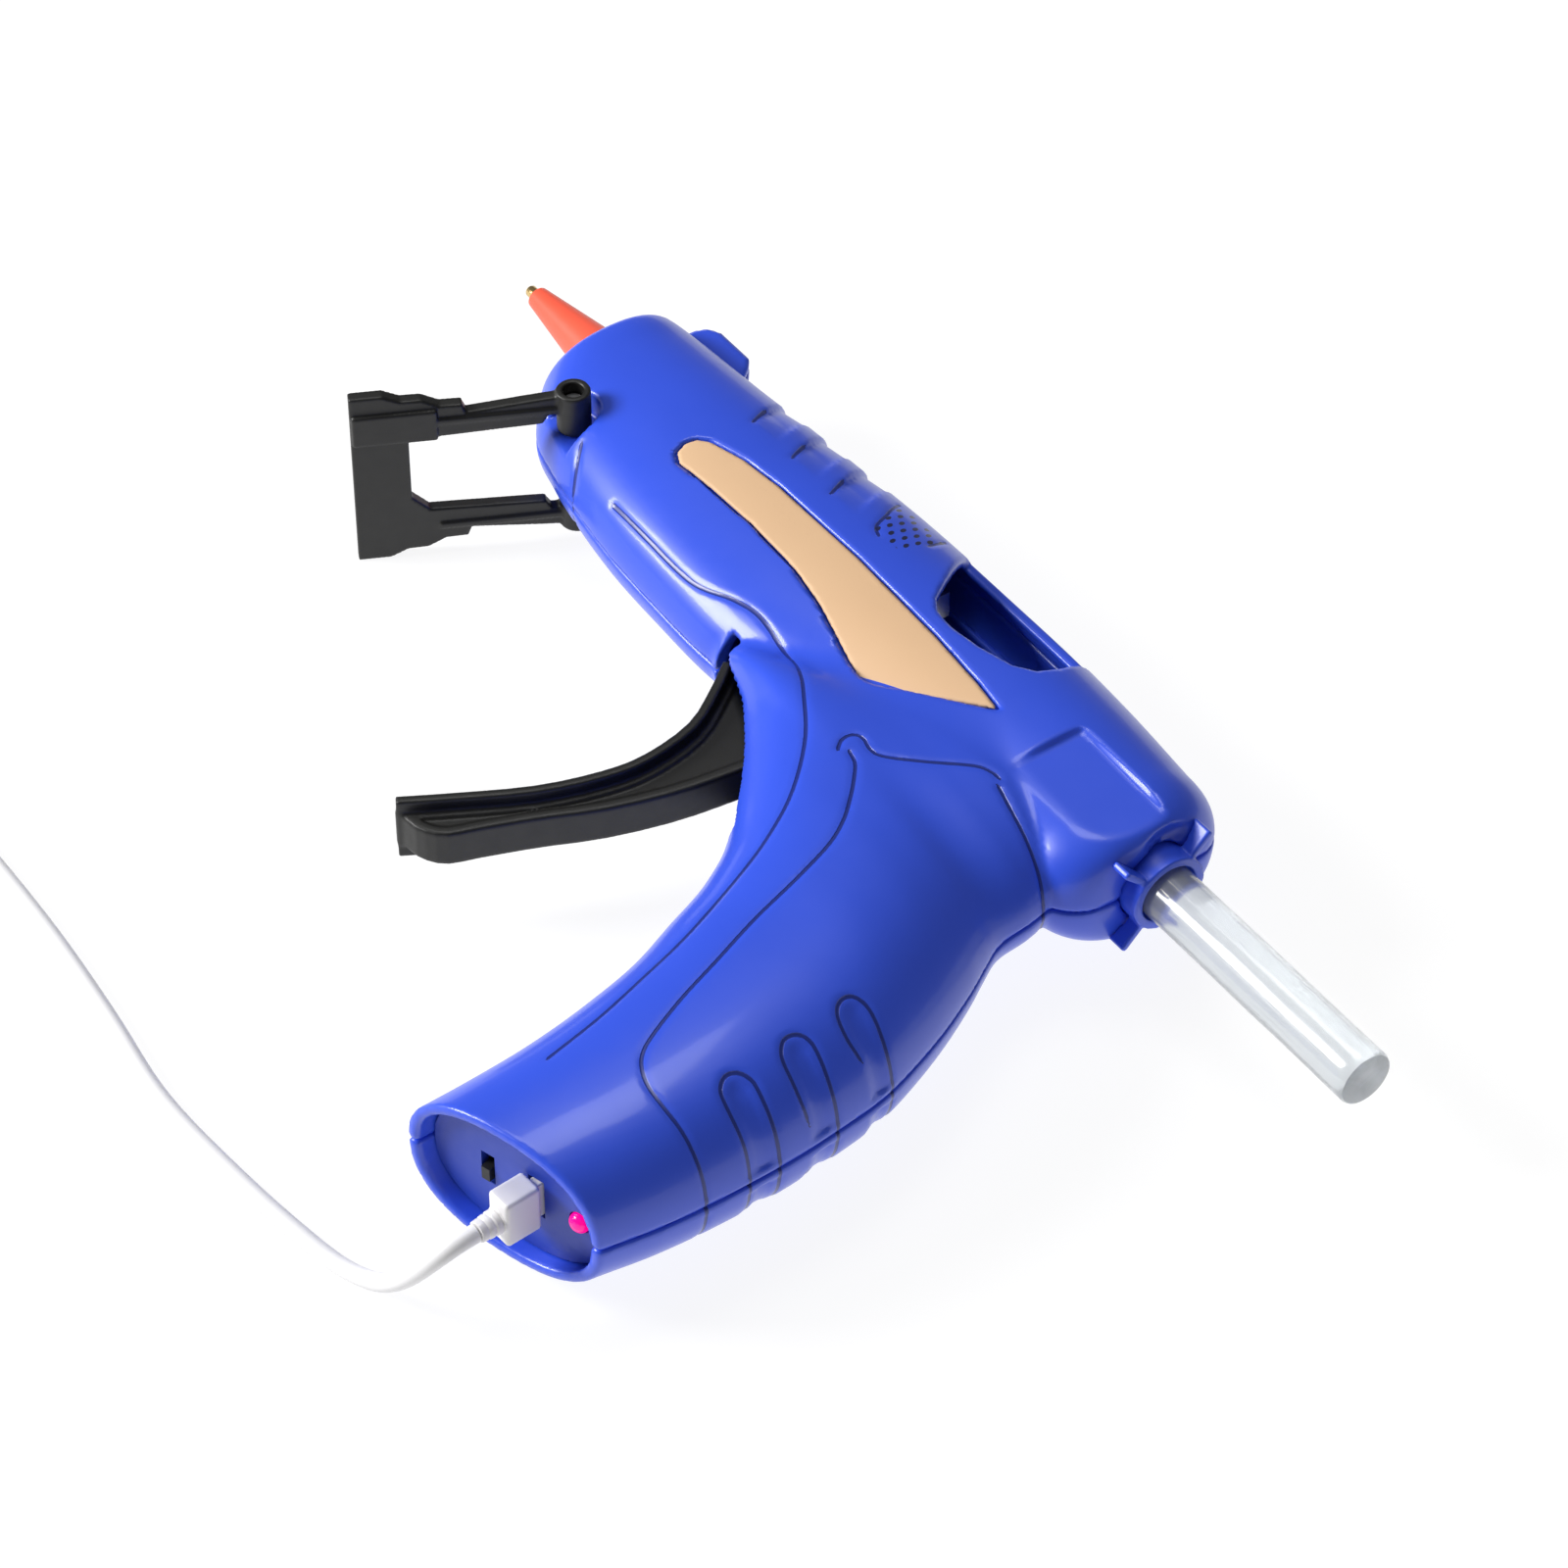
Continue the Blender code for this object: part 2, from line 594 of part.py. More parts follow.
def body_cutters():
    """Everything that shapes both shells: cavity, bosses, holes and slots."""
    cavity = join(barrel("cavity", WALL, front=WALL, rear=WALL, sides=20),
                  handle("handle_cavity", WALL, sides=20), solver=SHELL_SOLVER)
    screws = shifted(FRONT_SCREWS, BODY_FRONT) + shifted(GRIP_SCREWS, GRIP)
    for number, (x, y) in enumerate(screws):
        cut(cavity, rod(f"boss_{number}", (x, y, -FAR), (x, y, FAR), BOSS_RADIUS, steps=16),
            solver=SHELL_SOLVER)
    pins = {
        "trigger_boss": (PIVOT, PIN_BOSS_RADIUS, TRIGGER_HALF_WIDTH + RUNNING_GAP),
        "spring_post": ((GRIP + 1.0, -LEVER_ARM - 2.0), 1.5, 0.0),
    }
    for name, ((x, y), radius, clear) in pins.items():
        for side in (-1, 1):
            cut(cavity, rod(f"{name}_{side}", (x, y, side * clear), (x, y, side * FAR), radius,
                            steps=16), solver=SHELL_SOLVER)
    for side in (-1, 1):
        cut(cavity, rod(f"stand_boss_{side}", (*STAND_HUB, side * (STAND_HUB_INNER - 3.0)),
                        (*STAND_HUB, side * 20.0), STAND_POCKET_RADIUS + 1.8, steps=20),
            solver=SHELL_SOLVER)
    tools = [
        cavity,
        rod("nozzle_hole", (BODY_FRONT - 5.0, 0, 0), (BODY_FRONT + 8.0, 0, 0),
            SLEEVE_BASE_RADIUS + RUNNING_GAP),
        rod("inlet_hole", (BODY_REAR - 8.0, 0, 0), (BODY_REAR + 20.0, 0, 0),
            STICK_BORE + COLLAR_WALL + GAP),
        slab("slot", shifted(SLOT_FROM_GRIP, GRIP), -SLOT_HALF_WIDTH, SLOT_HALF_WIDTH),
        slab("rear_slot", shifted(REAR_SLOT_FROM_GRIP, GRIP), -TRIGGER_WEB / 2 - 1.2,
             TRIGGER_WEB / 2 + 1.2),
        butt_box("butt_trim", (-60.0, 60.0), (-40.0, 0.0), (-40.0, 40.0)),
        rod("trigger_pin_hole", (*PIVOT, -10.0), (*PIVOT, 10.0), TRIGGER_PIN_RADIUS + GAP, steps=16),
        rod("stand_pin_hole", (*STAND_HUB, -FAR), (*STAND_HUB, FAR), STAND_PIN_RADIUS + GAP,
            steps=16),
    ]
    for side in (-1, 1):
        low, high = sorted((side * (STAND_HUB_INNER - RUNNING_GAP), side * FAR))
        tools.append(rod(f"stand_pocket_{side}", (*STAND_HUB, low), (*STAND_HUB, high),
                         STAND_POCKET_RADIUS))
        tools.append(box(f"stand_relief_{side}", (
            STAND_HUB[0] - STAND_POCKET_RADIUS, STAND_HUB[1] - 15.0, low), (
            STAND_HUB[0] + STAND_POCKET_RADIUS, STAND_HUB[1], high)))
    for number, (x, y) in enumerate(screws):
        tools.append(rod(f"screw_hole_{number}", (x, y, -SCREW_SEAT - 1.0), (x, y, SCREW_REACH + 0.6),
                         SCREW_RADIUS + GAP, steps=16))
        tools.append(rod(f"screw_seat_{number}", (x, y, -SCREW_SEAT), (x, y, -40.0),
                         SCREW_HEAD_RADIUS + GAP, steps=16))
    return tools


def make_shells():
    """The two mirror-image shells, with their openings and inlay recesses."""
    tools = body_cutters()
    recess = boolean(slab("inlay_recess", shifted(grown(INLAY_FROM_FRONT, GAP + 0.2), BODY_FRONT),
                          -FAR, FAR), barrel("recess_floor", INLAY_RECESS), "DIFFERENCE", SHELL_SOLVER)
    sight = slab("sight", shifted(SIGHT_FROM_FRONT, BODY_FRONT), -SIGHT_THICKNESS / 2,
                 SIGHT_THICKNESS / 2)
    window = slab("window", shifted(WINDOW_FROM_GRIP, GRIP), WINDOW_TOP_EDGE, FAR)
    x, y, length, height = PEEP_SLOT
    peep = box("peep", (GRIP + x, y, -12.0), (GRIP + x + length, y + height, -3.0))
    for side, name in ((1, "left_shell"), (-1, "right_shell")):
        shell = barrel(name + "_outer")
        join(shell, handle(name + "_handle"), sight, solver=SHELL_SOLVER)
        cut(shell, *tools, solver=SHELL_SOLVER)
        cut(shell, recess, window if side > 0 else peep, solver=SHELL_SOLVER)
        cut(shell, box(name + "_half", (-50.0, -220.0, -60.0 if side > 0 else -GAP / 2),
                       (300.0, 80.0, GAP / 2 if side > 0 else 60.0)), solver=SHELL_SOLVER)
        finish(shell, name, BLUE)


def finish(built, name, look):
    """Turn a built-up cutter object into a part with its own name and look."""
    bpy.context.view_layer.update()
    seen = built.evaluated_get(bpy.context.evaluated_depsgraph_get())
    mesh = bpy.data.meshes.new_from_object(seen)
    bm = bmesh.new()
    bm.from_mesh(mesh)
    bmesh.ops.remove_doubles(bm, verts=bm.verts, dist=0.00001)
    bmesh.ops.dissolve_degenerate(bm, edges=bm.edges, dist=0.00001)
    bm.to_mesh(mesh)
    bm.free()
    mesh.materials.clear()
    part = add(name, mesh, look)
    part.matrix_local = built.matrix_local
    bpy.data.objects.remove(built, do_unlink=True)
    return part


def grown(outline, distance):
    """An outline moved outwards by a distance, corner by corner."""
    points = np.asarray(outline, dtype=float)
    back = points - np.roll(points, 1, axis=0)
    ahead = np.roll(points, -1, axis=0) - points
    normals = []
    for run in (back, ahead):
        run = run / np.linalg.norm(run, axis=1)[:, None]
        normals.append(np.column_stack([-run[:, 1], run[:, 0]]))
    corner = normals[0] + normals[1]
    corner /= np.maximum((corner * normals[0]).sum(axis=1), 0.4)[:, None]
    area = 0.5 * np.sum(points[:, 0] * np.roll(points[:, 1], -1)
                        - points[:, 1] * np.roll(points[:, 0], -1))
    return [tuple(p) for p in points - np.sign(area) * distance * corner]


def make_inlays():
    """The coloured inlays, which follow the barrel's side in their recesses."""
    for side, name in ((1, "inlay_left"), (-1, "inlay_right")):
        low, high = sorted((side * 2.0, side * FAR))
        inlay = slab(name + "_block", shifted(INLAY_FROM_FRONT, BODY_FRONT), low, high)
        boolean(inlay, barrel(name + "_face", INLAY_RECESS - GAP - INLAY_THICKNESS + 0.05), "INTERSECT")
        cut(inlay, barrel(name + "_back", INLAY_RECESS - GAP))
        finish(inlay, name, TAN)


# ---------------------------------------------------------------- hot end

def make_hot_end():
    """Nozzle, sleeve, heating chamber, heater and the chamber's supports."""
    thread_start = CHAMBER_START - GAP - 1.5
    turned("nozzle_tip", (
        (THREAD_RADIUS, thread_start + THREAD_LENGTH), (THREAD_RADIUS, thread_start),
        (NOZZLE_BASE_RADIUS, thread_start), (NOZZLE_BASE_RADIUS, thread_start - 4.0),
        (TIP_RADIUS, 1.6), (TIP_RADIUS, 0.5), (TIP_RADIUS - 0.3, 0.0), (0.55, 0.0), (0.55, 3.0),
        (1.6, 8.0), (1.6, thread_start + THREAD_LENGTH),
    ), BRASS)
    inner_gap = GAP
    turned("nozzle_sleeve", (
        (SLEEVE_BASE_RADIUS, BODY_FRONT + WALL + 0.3), (SLEEVE_BASE_RADIUS, BODY_FRONT),
        (SLEEVE_TIP_RADIUS + 0.2, SLEEVE_START + 0.4), (SLEEVE_TIP_RADIUS, SLEEVE_START),
        (TIP_RADIUS + inner_gap, SLEEVE_START),
        (NOZZLE_BASE_RADIUS + inner_gap, thread_start - 4.0),
        (NOZZLE_BASE_RADIUS + inner_gap, BODY_FRONT + WALL + 0.3),
    ), SILICONE)
    turned("heating_chamber", (
        (CHAMBER_RADIUS, CHAMBER_END), (CHAMBER_RADIUS, CHAMBER_START + 2.0),
        (CHAMBER_RADIUS - 1.5, CHAMBER_START + GAP + 1.2), (THREAD_RADIUS + GAP, CHAMBER_START + GAP + 1.2),
        (THREAD_RADIUS + GAP, CHAMBER_START + 8.0), (2.2, CHAMBER_START + 10.0),
        (STICK_BORE, CHAMBER_START + 22.0), (STICK_BORE, CHAMBER_END),
    ), ALUMINIUM)
    heater_x = CHAMBER_END - HEATER_LENGTH - 2.0
    block = box("heater_block", (heater_x, -CHAMBER_RADIUS - GAP - HEATER_HEIGHT, -HEATER_WIDTH / 2),
                (heater_x + HEATER_LENGTH, -CHAMBER_RADIUS - GAP, HEATER_WIDTH / 2), ALUMINIUM)
    slot_y = -CHAMBER_RADIUS - GAP - HEATER_HEIGHT / 2
    half_y, half_z = ELEMENT_HEIGHT / 2, ELEMENT_WIDTH / 2
    cut(block, box("heater_slot", (heater_x - 1.0, slot_y - half_y - GAP, -half_z - GAP),
                   (heater_x + HEATER_LENGTH + 1.0, slot_y + half_y + GAP, half_z + GAP)))
    box("heater_element", (heater_x + 1.0, slot_y - half_y, -half_z),
        (heater_x + HEATER_LENGTH - 1.0, slot_y + half_y, half_z), CERAMIC)
    mount_x = CHAMBER_START + MOUNT_FROM_CHAMBER
    mount = [(CHAMBER_RADIUS + MOUNT_WIDTH, mount_x + MOUNT_THICKNESS),
             (CHAMBER_RADIUS + MOUNT_WIDTH, mount_x),
             (CHAMBER_RADIUS + GAP, mount_x),
             (CHAMBER_RADIUS + GAP, mount_x + MOUNT_THICKNESS)]
    ring = turned("mount_ring", mount, CERAMIC)
    boolean(ring, barrel("mount_fill", WALL + GAP), "INTERSECT")
    finish(ring, "front_mount", CERAMIC)
    sleeve_start = CHAMBER_END + GAP
    sleeve_end = PIVOT[0] - CARRIAGE_LENGTH / 2 - 6.0
    turned("inlet_sleeve", (
        (STICK_BORE + INLET_SLEEVE_WALL, sleeve_end), (STICK_BORE + INLET_SLEEVE_WALL, sleeve_start),
        (STICK_BORE, sleeve_start), (STICK_BORE, sleeve_end),
    ), SILICONE)
    clip_bore = STICK_BORE + INLET_SLEEVE_WALL + GAP
    clip_low, clip_high = sleeve_start + CLIP_PLACE[0], sleeve_start + CLIP_PLACE[1]
    turned("sleeve_clip", (
        (clip_bore + CLIP_WALL, clip_high), (clip_bore + CLIP_WALL, clip_low),
        (clip_bore, clip_low), (clip_bore, clip_high),
    ), STEEL)


# ---------------------------------------------------------------- feed

def make_feed():
    """Glue stick, carriage, clamp, link pin, return spring and inlet collar."""
    stick = rod("glue_stick", (CHAMBER_START + 26.0, 0, 0),
                (BODY_REAR + COLLAR_OUT + STICK_OUT, 0, 0), STICK_RADIUS, GLUE)
    bevel(stick, 0.8)
    x = PIVOT[0]
    half = CARRIAGE_LENGTH / 2
    outer = STICK_BORE + CARRIAGE_WALL
    carriage = turned("feed_carriage", (
        (outer, half), (outer, -half), (STICK_BORE, -half), (STICK_BORE, half)), BLACK, start=(x, 0, 0))
    lug_low, lug_high = -LEVER_ARM - 4.2, -STICK_BORE - 0.6
    join(carriage, box("carriage_lug", (x - 4.0, lug_low, -3.2), (x + 6.0, lug_high, 3.2)))
    pin_y = PIVOT[1] + LEVER_ARM
    cut(carriage, slab("lug_slot", (
        (x - LINK_PIN_RADIUS - GAP, lug_low - 1.0), (x + LINK_PIN_RADIUS + GAP, lug_low - 1.0),
        (x + LINK_PIN_RADIUS + GAP, pin_y + LINK_PIN_RADIUS + 0.8),
        (x - LINK_PIN_RADIUS - GAP, pin_y + LINK_PIN_RADIUS + 0.8)), -5.0, 5.0))
    cut(carriage, box("clamp_window", (x - half + 3.0, -3.0, -12.0),
                      (x - half + 3.0 + CARRIAGE_SLOT, 16.0, 12.0)))
    clamp_x = x - half + 3.0 + CARRIAGE_SLOT / 2
    clamp = rod("clamp_disc", (-CLAMP_THICKNESS / 2, -CLAMP_TAIL, 0),
                (CLAMP_THICKNESS / 2, -CLAMP_TAIL, 0), CLAMP_RADIUS)
    join(clamp, box("clamp_tail", (-CLAMP_THICKNESS / 2, -CLAMP_TAIL, -3.0),
                    (CLAMP_THICKNESS / 2, 0.0, 3.0)))
    cut(clamp, rod("clamp_hole", (-5.0, -CLAMP_TAIL, 0), (5.0, -CLAMP_TAIL, 0), STICK_BORE + 0.5))
    cut(clamp, box("clamp_foot", (-5.0, -CLAMP_TAIL - 20.0, -12.0), (5.0, -CLAMP_TAIL - 2.4, 12.0)))
    finish(clamp, "stick_clamp", STEEL).location = mm((clamp_x, CLAMP_TAIL, 0.0))
    rod("link_pin", (x, pin_y, -5.6), (x, pin_y, 5.6), LINK_PIN_RADIUS, STEEL, steps=16)
    start, end = x + 6.0 + GAP, GRIP + 1.0 - 1.5 - GAP
    turns = np.linspace(0.0, SPRING_TURNS * 2 * math.pi, SPRING_TURNS * 10 + 1)
    coil = np.column_stack([
        np.linspace(start + SPRING_WIRE, end - SPRING_WIRE, len(turns)),
        -LEVER_ARM - 2.0 + SPRING_RADIUS * np.cos(turns), SPRING_RADIUS * np.sin(turns)])
    tube("return_spring", coil, SPRING_WIRE, STEEL, resolution=0)
    collar_start = BODY_REAR - 7.0
    collar_end = BODY_REAR + COLLAR_OUT
    collar = turned("collar_fins", (
        (STICK_BORE + COLLAR_WALL, collar_end), (STICK_BORE + COLLAR_WALL, collar_start),
        (STICK_BORE, collar_start), (STICK_BORE, collar_end)))
    for number in range(4):
        angle = math.radians(FIN_ANGLE + 90.0 * number)
        low = STICK_BORE + COLLAR_WALL / 2
        fin = box(f"fin_{number}", (BODY_REAR - 6.5, low, -FIN_THICKNESS / 2),
                  (collar_end - 0.6, FIN_REACH, FIN_THICKNESS / 2))
        fin.rotation_euler.x = angle
        join(collar, fin)
    cut(collar, barrel("fin_back", -GAP), handle("fin_back_handle", -GAP))
    outer = STICK_BORE + COLLAR_WALL
    join(collar, turned("collar_core", (
        (outer, collar_end), (outer, collar_start + 2.0), (outer + 1.6, collar_start + 2.0),
        (outer + 1.6, collar_start), (STICK_BORE, collar_start), (STICK_BORE, collar_end))))
    finish(collar, "inlet_collar", BLUE)


def make_trigger():
    """The trigger, with its origin on its pin, and the pin."""
    smooth_front = smooth_line(TRIGGER_FRONT, 22)
    smooth_back = smooth_line(TRIGGER_BACK, 20)
    run = np.gradient(smooth_front, axis=0)
    run /= np.linalg.norm(run, axis=1)[:, None]
    inner = smooth_front + TRIGGER_FACE * np.column_stack([-run[:, 1], run[:, 0]])
    face = np.vstack([smooth_front, inner[::-1]])
    trigger = slab("trigger_face", face, -TRIGGER_HALF_WIDTH, TRIGGER_HALF_WIDTH)
    middle = (inner + smooth_front) / 2.0
    web = np.vstack([(-TRIGGER_HUB_RADIUS, 0.0), middle, smooth_back[::-1], (TRIGGER_HUB_RADIUS, 0.0)])
    join(trigger, slab("trigger_web", web, -TRIGGER_WEB / 2, TRIGGER_WEB / 2))
    join(trigger, rod("trigger_hub", (0, 0, -TRIGGER_HALF_WIDTH), (0, 0, TRIGGER_HALF_WIDTH),
                      TRIGGER_HUB_RADIUS))
    for side in (-1, 1):
        low, high = sorted((side * (3.2 + GAP), side * (3.2 + GAP + LEVER_THICKNESS)))
        lever = ((-3.0, 0.0), (-2.6, LEVER_ARM), (0.0, LEVER_ARM + 2.4), (2.6, LEVER_ARM), (3.0, 0.0))
        join(trigger, slab(f"lever_{side}", lever, low, high))
    cut(trigger, rod("trigger_bore", (0, 0, -20), (0, 0, 20), TRIGGER_PIN_RADIUS + GAP, steps=16))
    cut(trigger, rod("link_bore", (0, LEVER_ARM, -20), (0, LEVER_ARM, 20), LINK_PIN_RADIUS + GAP, steps=16))
    part = finish(trigger, "trigger", BLACK)
    part.location = mm((*PIVOT, 0.0))
    rod("trigger_pin", (*PIVOT, -9.8), (*PIVOT, 9.8), TRIGGER_PIN_RADIUS, STEEL, steps=16)


# ---------------------------------------------------------------- stand

def make_stand():
    """The folding stand, one flat frame with two hubs, and its pivot pins.

    It is drawn hanging straight down from its pivot and then turned.
    """
    outer = [(-distance, z) for distance, z in STAND_SIDE]
    inner = [(-distance, z) for distance, z in STAND_WINDOW]
    half = outer[::-1] + inner
    outline = half + [(y, -z) for y, z in half[::-1]]
    chamfer = [(-STAND_WINDOW[-1][0] + STAND_CHAMFER, -STAND_WINDOW[-1][1]),
               (-STAND_WINDOW[-1][0], -STAND_WINDOW[-1][1] + STAND_CHAMFER)]
    cut_at = len(half)
    outline = outline[:cut_at] + chamfer[::-1] + outline[cut_at + 1:]
    plate = slab("stand_plate", outline, -STAND_THICKNESS / 2, STAND_THICKNESS / 2)
    lay = Matrix(((0, 0, 1, 0), (1, 0, 0, 0), (0, 1, 0, 0), (0, 0, 0, 1)))
    plate.data.transform(lay)
    for name, sign in (("left", 1), ("right", -1)):
        hub = rod(f"hub_{name}", (0, 0, sign * STAND_HUB_INNER), (0, 0, sign * STAND_HUB_OUTER),
                  STAND_HUB_RADIUS)
        join(plate, hub)
    join(plate, box("near_pad", (STAND_THICKNESS / 2 - 0.2, -STAND_REACH, 8.8),
                    (STAND_THICKNESS / 2 + 0.9, -26.0, 17.0)))
    cut(plate, rod("hub_bore", (0, 0, -40), (0, 0, 40), STAND_BORE, steps=20))
    part = finish(plate, "bail_stand", BLACK)
    part.location = mm((*STAND_HUB, 0.0))
    part.rotation_euler.z = math.radians(STAND_ANGLE)
    for name, sign in (("left", 1), ("right", -1)):
        rod(f"stand_pin_{name}", (*STAND_HUB, sign * 3.4), (*STAND_HUB, sign * (STAND_HUB_OUTER - 2.5)),
            STAND_PIN_RADIUS, STEEL, steps=16)


# ---------------------------------------------------------------- handle

def make_butt():
    """Butt plate, switch, LED, charging socket, circuit board and battery."""
    low, high = BUTT_RECESS, BUTT_RECESS + BUTT_PLATE_THICKNESS
    plate = butt_box("butt_block", (-40, 40), (low, high), (-30, 30))
    boolean(plate, handle("butt_fill", WALL + GAP), "INTERSECT")
    half_u, half_z = SWITCH_SIZE[0] / 2, SWITCH_SIZE[1] / 2
    cut(plate, butt_box("switch_hole", (SWITCH_OFFSET - half_u, SWITCH_OFFSET + half_u), (0, 20),
                        (-half_z, half_z)))
    tongue = PLUG_TONGUE
    cut(plate, lead_box("socket_hole", (-tongue[0] / 2 - 0.5, tongue[0] / 2 + 0.5), (-5, 20),
                        (-tongue[2] / 2 - 0.5, tongue[2] / 2 + 0.5)))
    cut(plate, rod("led_hole", butt_point(LED_OFFSET, 0), butt_point(LED_OFFSET, 20), LED_RADIUS + GAP))
    finish(plate, "butt_plate", BLUE)
    knob_u, knob_z = SWITCH_KNOB
    off = -SWITCH_TRAVEL / 2
    butt_box("switch_knob", (SWITCH_OFFSET - knob_u / 2, SWITCH_OFFSET + knob_u / 2),
             (low - 0.8, high + 1.0), (off - knob_z / 2, off + knob_z / 2), BLACK)
    base_z = half_z + 1.0
    body = butt_box("switch_body", (SWITCH_OFFSET - 2.6, SWITCH_OFFSET + 2.6),
                    (high + GAP, BOARD_DEPTH - GAP), (-base_z, base_z), BLACK)
    cut(body, butt_box("switch_room", (SWITCH_OFFSET - knob_u / 2 - GAP, SWITCH_OFFSET + knob_u / 2 + GAP),
                       (high - 2, high + 1.6), (-half_z, half_z)))
    turned("led_lens", (
        (0.0, 9.0), (LED_RADIUS, 9.0), (LED_RADIUS, 1.2), (LED_RADIUS * 0.86, 0.2),
        (LED_RADIUS * 0.5, -0.7), (0.0, -1.0)), PINK,
        start=butt_point(LED_OFFSET, low - 0.6), axis=np.subtract(butt_point(0, 1), butt_point(0, 0)))
    thick, depth, width = SOCKET_SIZE
    bottom = BUTT_PLATE_THICKNESS + PLUG_CLEAR
    socket = lead_box("usb_socket", (-thick / 2, thick / 2), (bottom, bottom + depth),
                      (-width / 2, width / 2), STEEL)
    cut(socket, lead_box("socket_room", (-tongue[0] / 2 - GAP, tongue[0] / 2 + GAP),
                         (-5, bottom + depth - 1.0), (-tongue[2] / 2 - GAP, tongue[2] / 2 + GAP)))
    length, thick_board, across = BOARD_SIZE
    board = butt_box("circuit_board", (2.5 - length / 2, 2.5 + length / 2),
                     (BOARD_DEPTH, BOARD_DEPTH + thick_board), (-across / 2, across / 2), BOARD)
    boolean(board, handle("board_fill", WALL + GAP), "INTERSECT")
    cut(board, rod("led_leg_room", butt_point(LED_OFFSET, 9), butt_point(LED_OFFSET, 19), LED_RADIUS + 0.6))
    tilt = math.radians(BATTERY_TILT)
    foot = (GRIP + 38.5, -HANDLE_DROP + BOARD_DEPTH + 9.0)
    top = (foot[0] - BATTERY_LENGTH * math.sin(tilt), foot[1] + BATTERY_LENGTH * math.cos(tilt))
    bevel(rod("battery_cell", (*foot, 0), (*top, 0), BATTERY_RADIUS, CELL), 0.8)


def make_wires():
    """Two wires from the board up the handle and along the barrel to the heater."""
    heater_x = CHAMBER_END - 2.0
    for name, side, look in (("heater_wire_left", 1, RED_WIRE), ("heater_wire_right", -1, BLACK_WIRE)):
        heater_y = -CHAMBER_RADIUS - GAP - HEATER_HEIGHT / 2
        route = (
            butt_point(WIRE_START[0], BOARD_DEPTH + WIRE_START[1], side * WIRE_START[2]),
            *((GRIP + x, -share * HANDLE_DROP, side * z) for x, share, z in WIRE_IN_HANDLE),
            *((GRIP + x, y, side * z) for x, y, z in WIRE_IN_BARREL),
            *((heater_x + x, max(heater_y, y), side * z) for x, y, z in WIRE_TO_HEATER))
        tube(name, smooth_path(route, WIRE_STEP), WIRE_RADIUS, look, resolution=1)


def make_screws():
    """One screw in each boss, driven from the right side."""
    screws = shifted(FRONT_SCREWS, BODY_FRONT) + shifted(GRIP_SCREWS, GRIP)
    for number, (x, y) in enumerate(screws, start=1):
        turned(f"shell_screw_{number}", (
            (0.0, SCREW_HEAD), (SCREW_HEAD_RADIUS * 0.7, SCREW_HEAD),
            (SCREW_HEAD_RADIUS, SCREW_HEAD * 0.6), (SCREW_HEAD_RADIUS, 0.0), (SCREW_RADIUS, 0.0),
            (SCREW_RADIUS, -SCREW_SEAT - SCREW_REACH), (0.0, -SCREW_SEAT - SCREW_REACH)), STEEL,
            start=(x, y, -SCREW_SEAT - GAP), axis=(0.0, 0.0, -1.0), steps=16)


# ---------------------------------------------------------------- charging lead

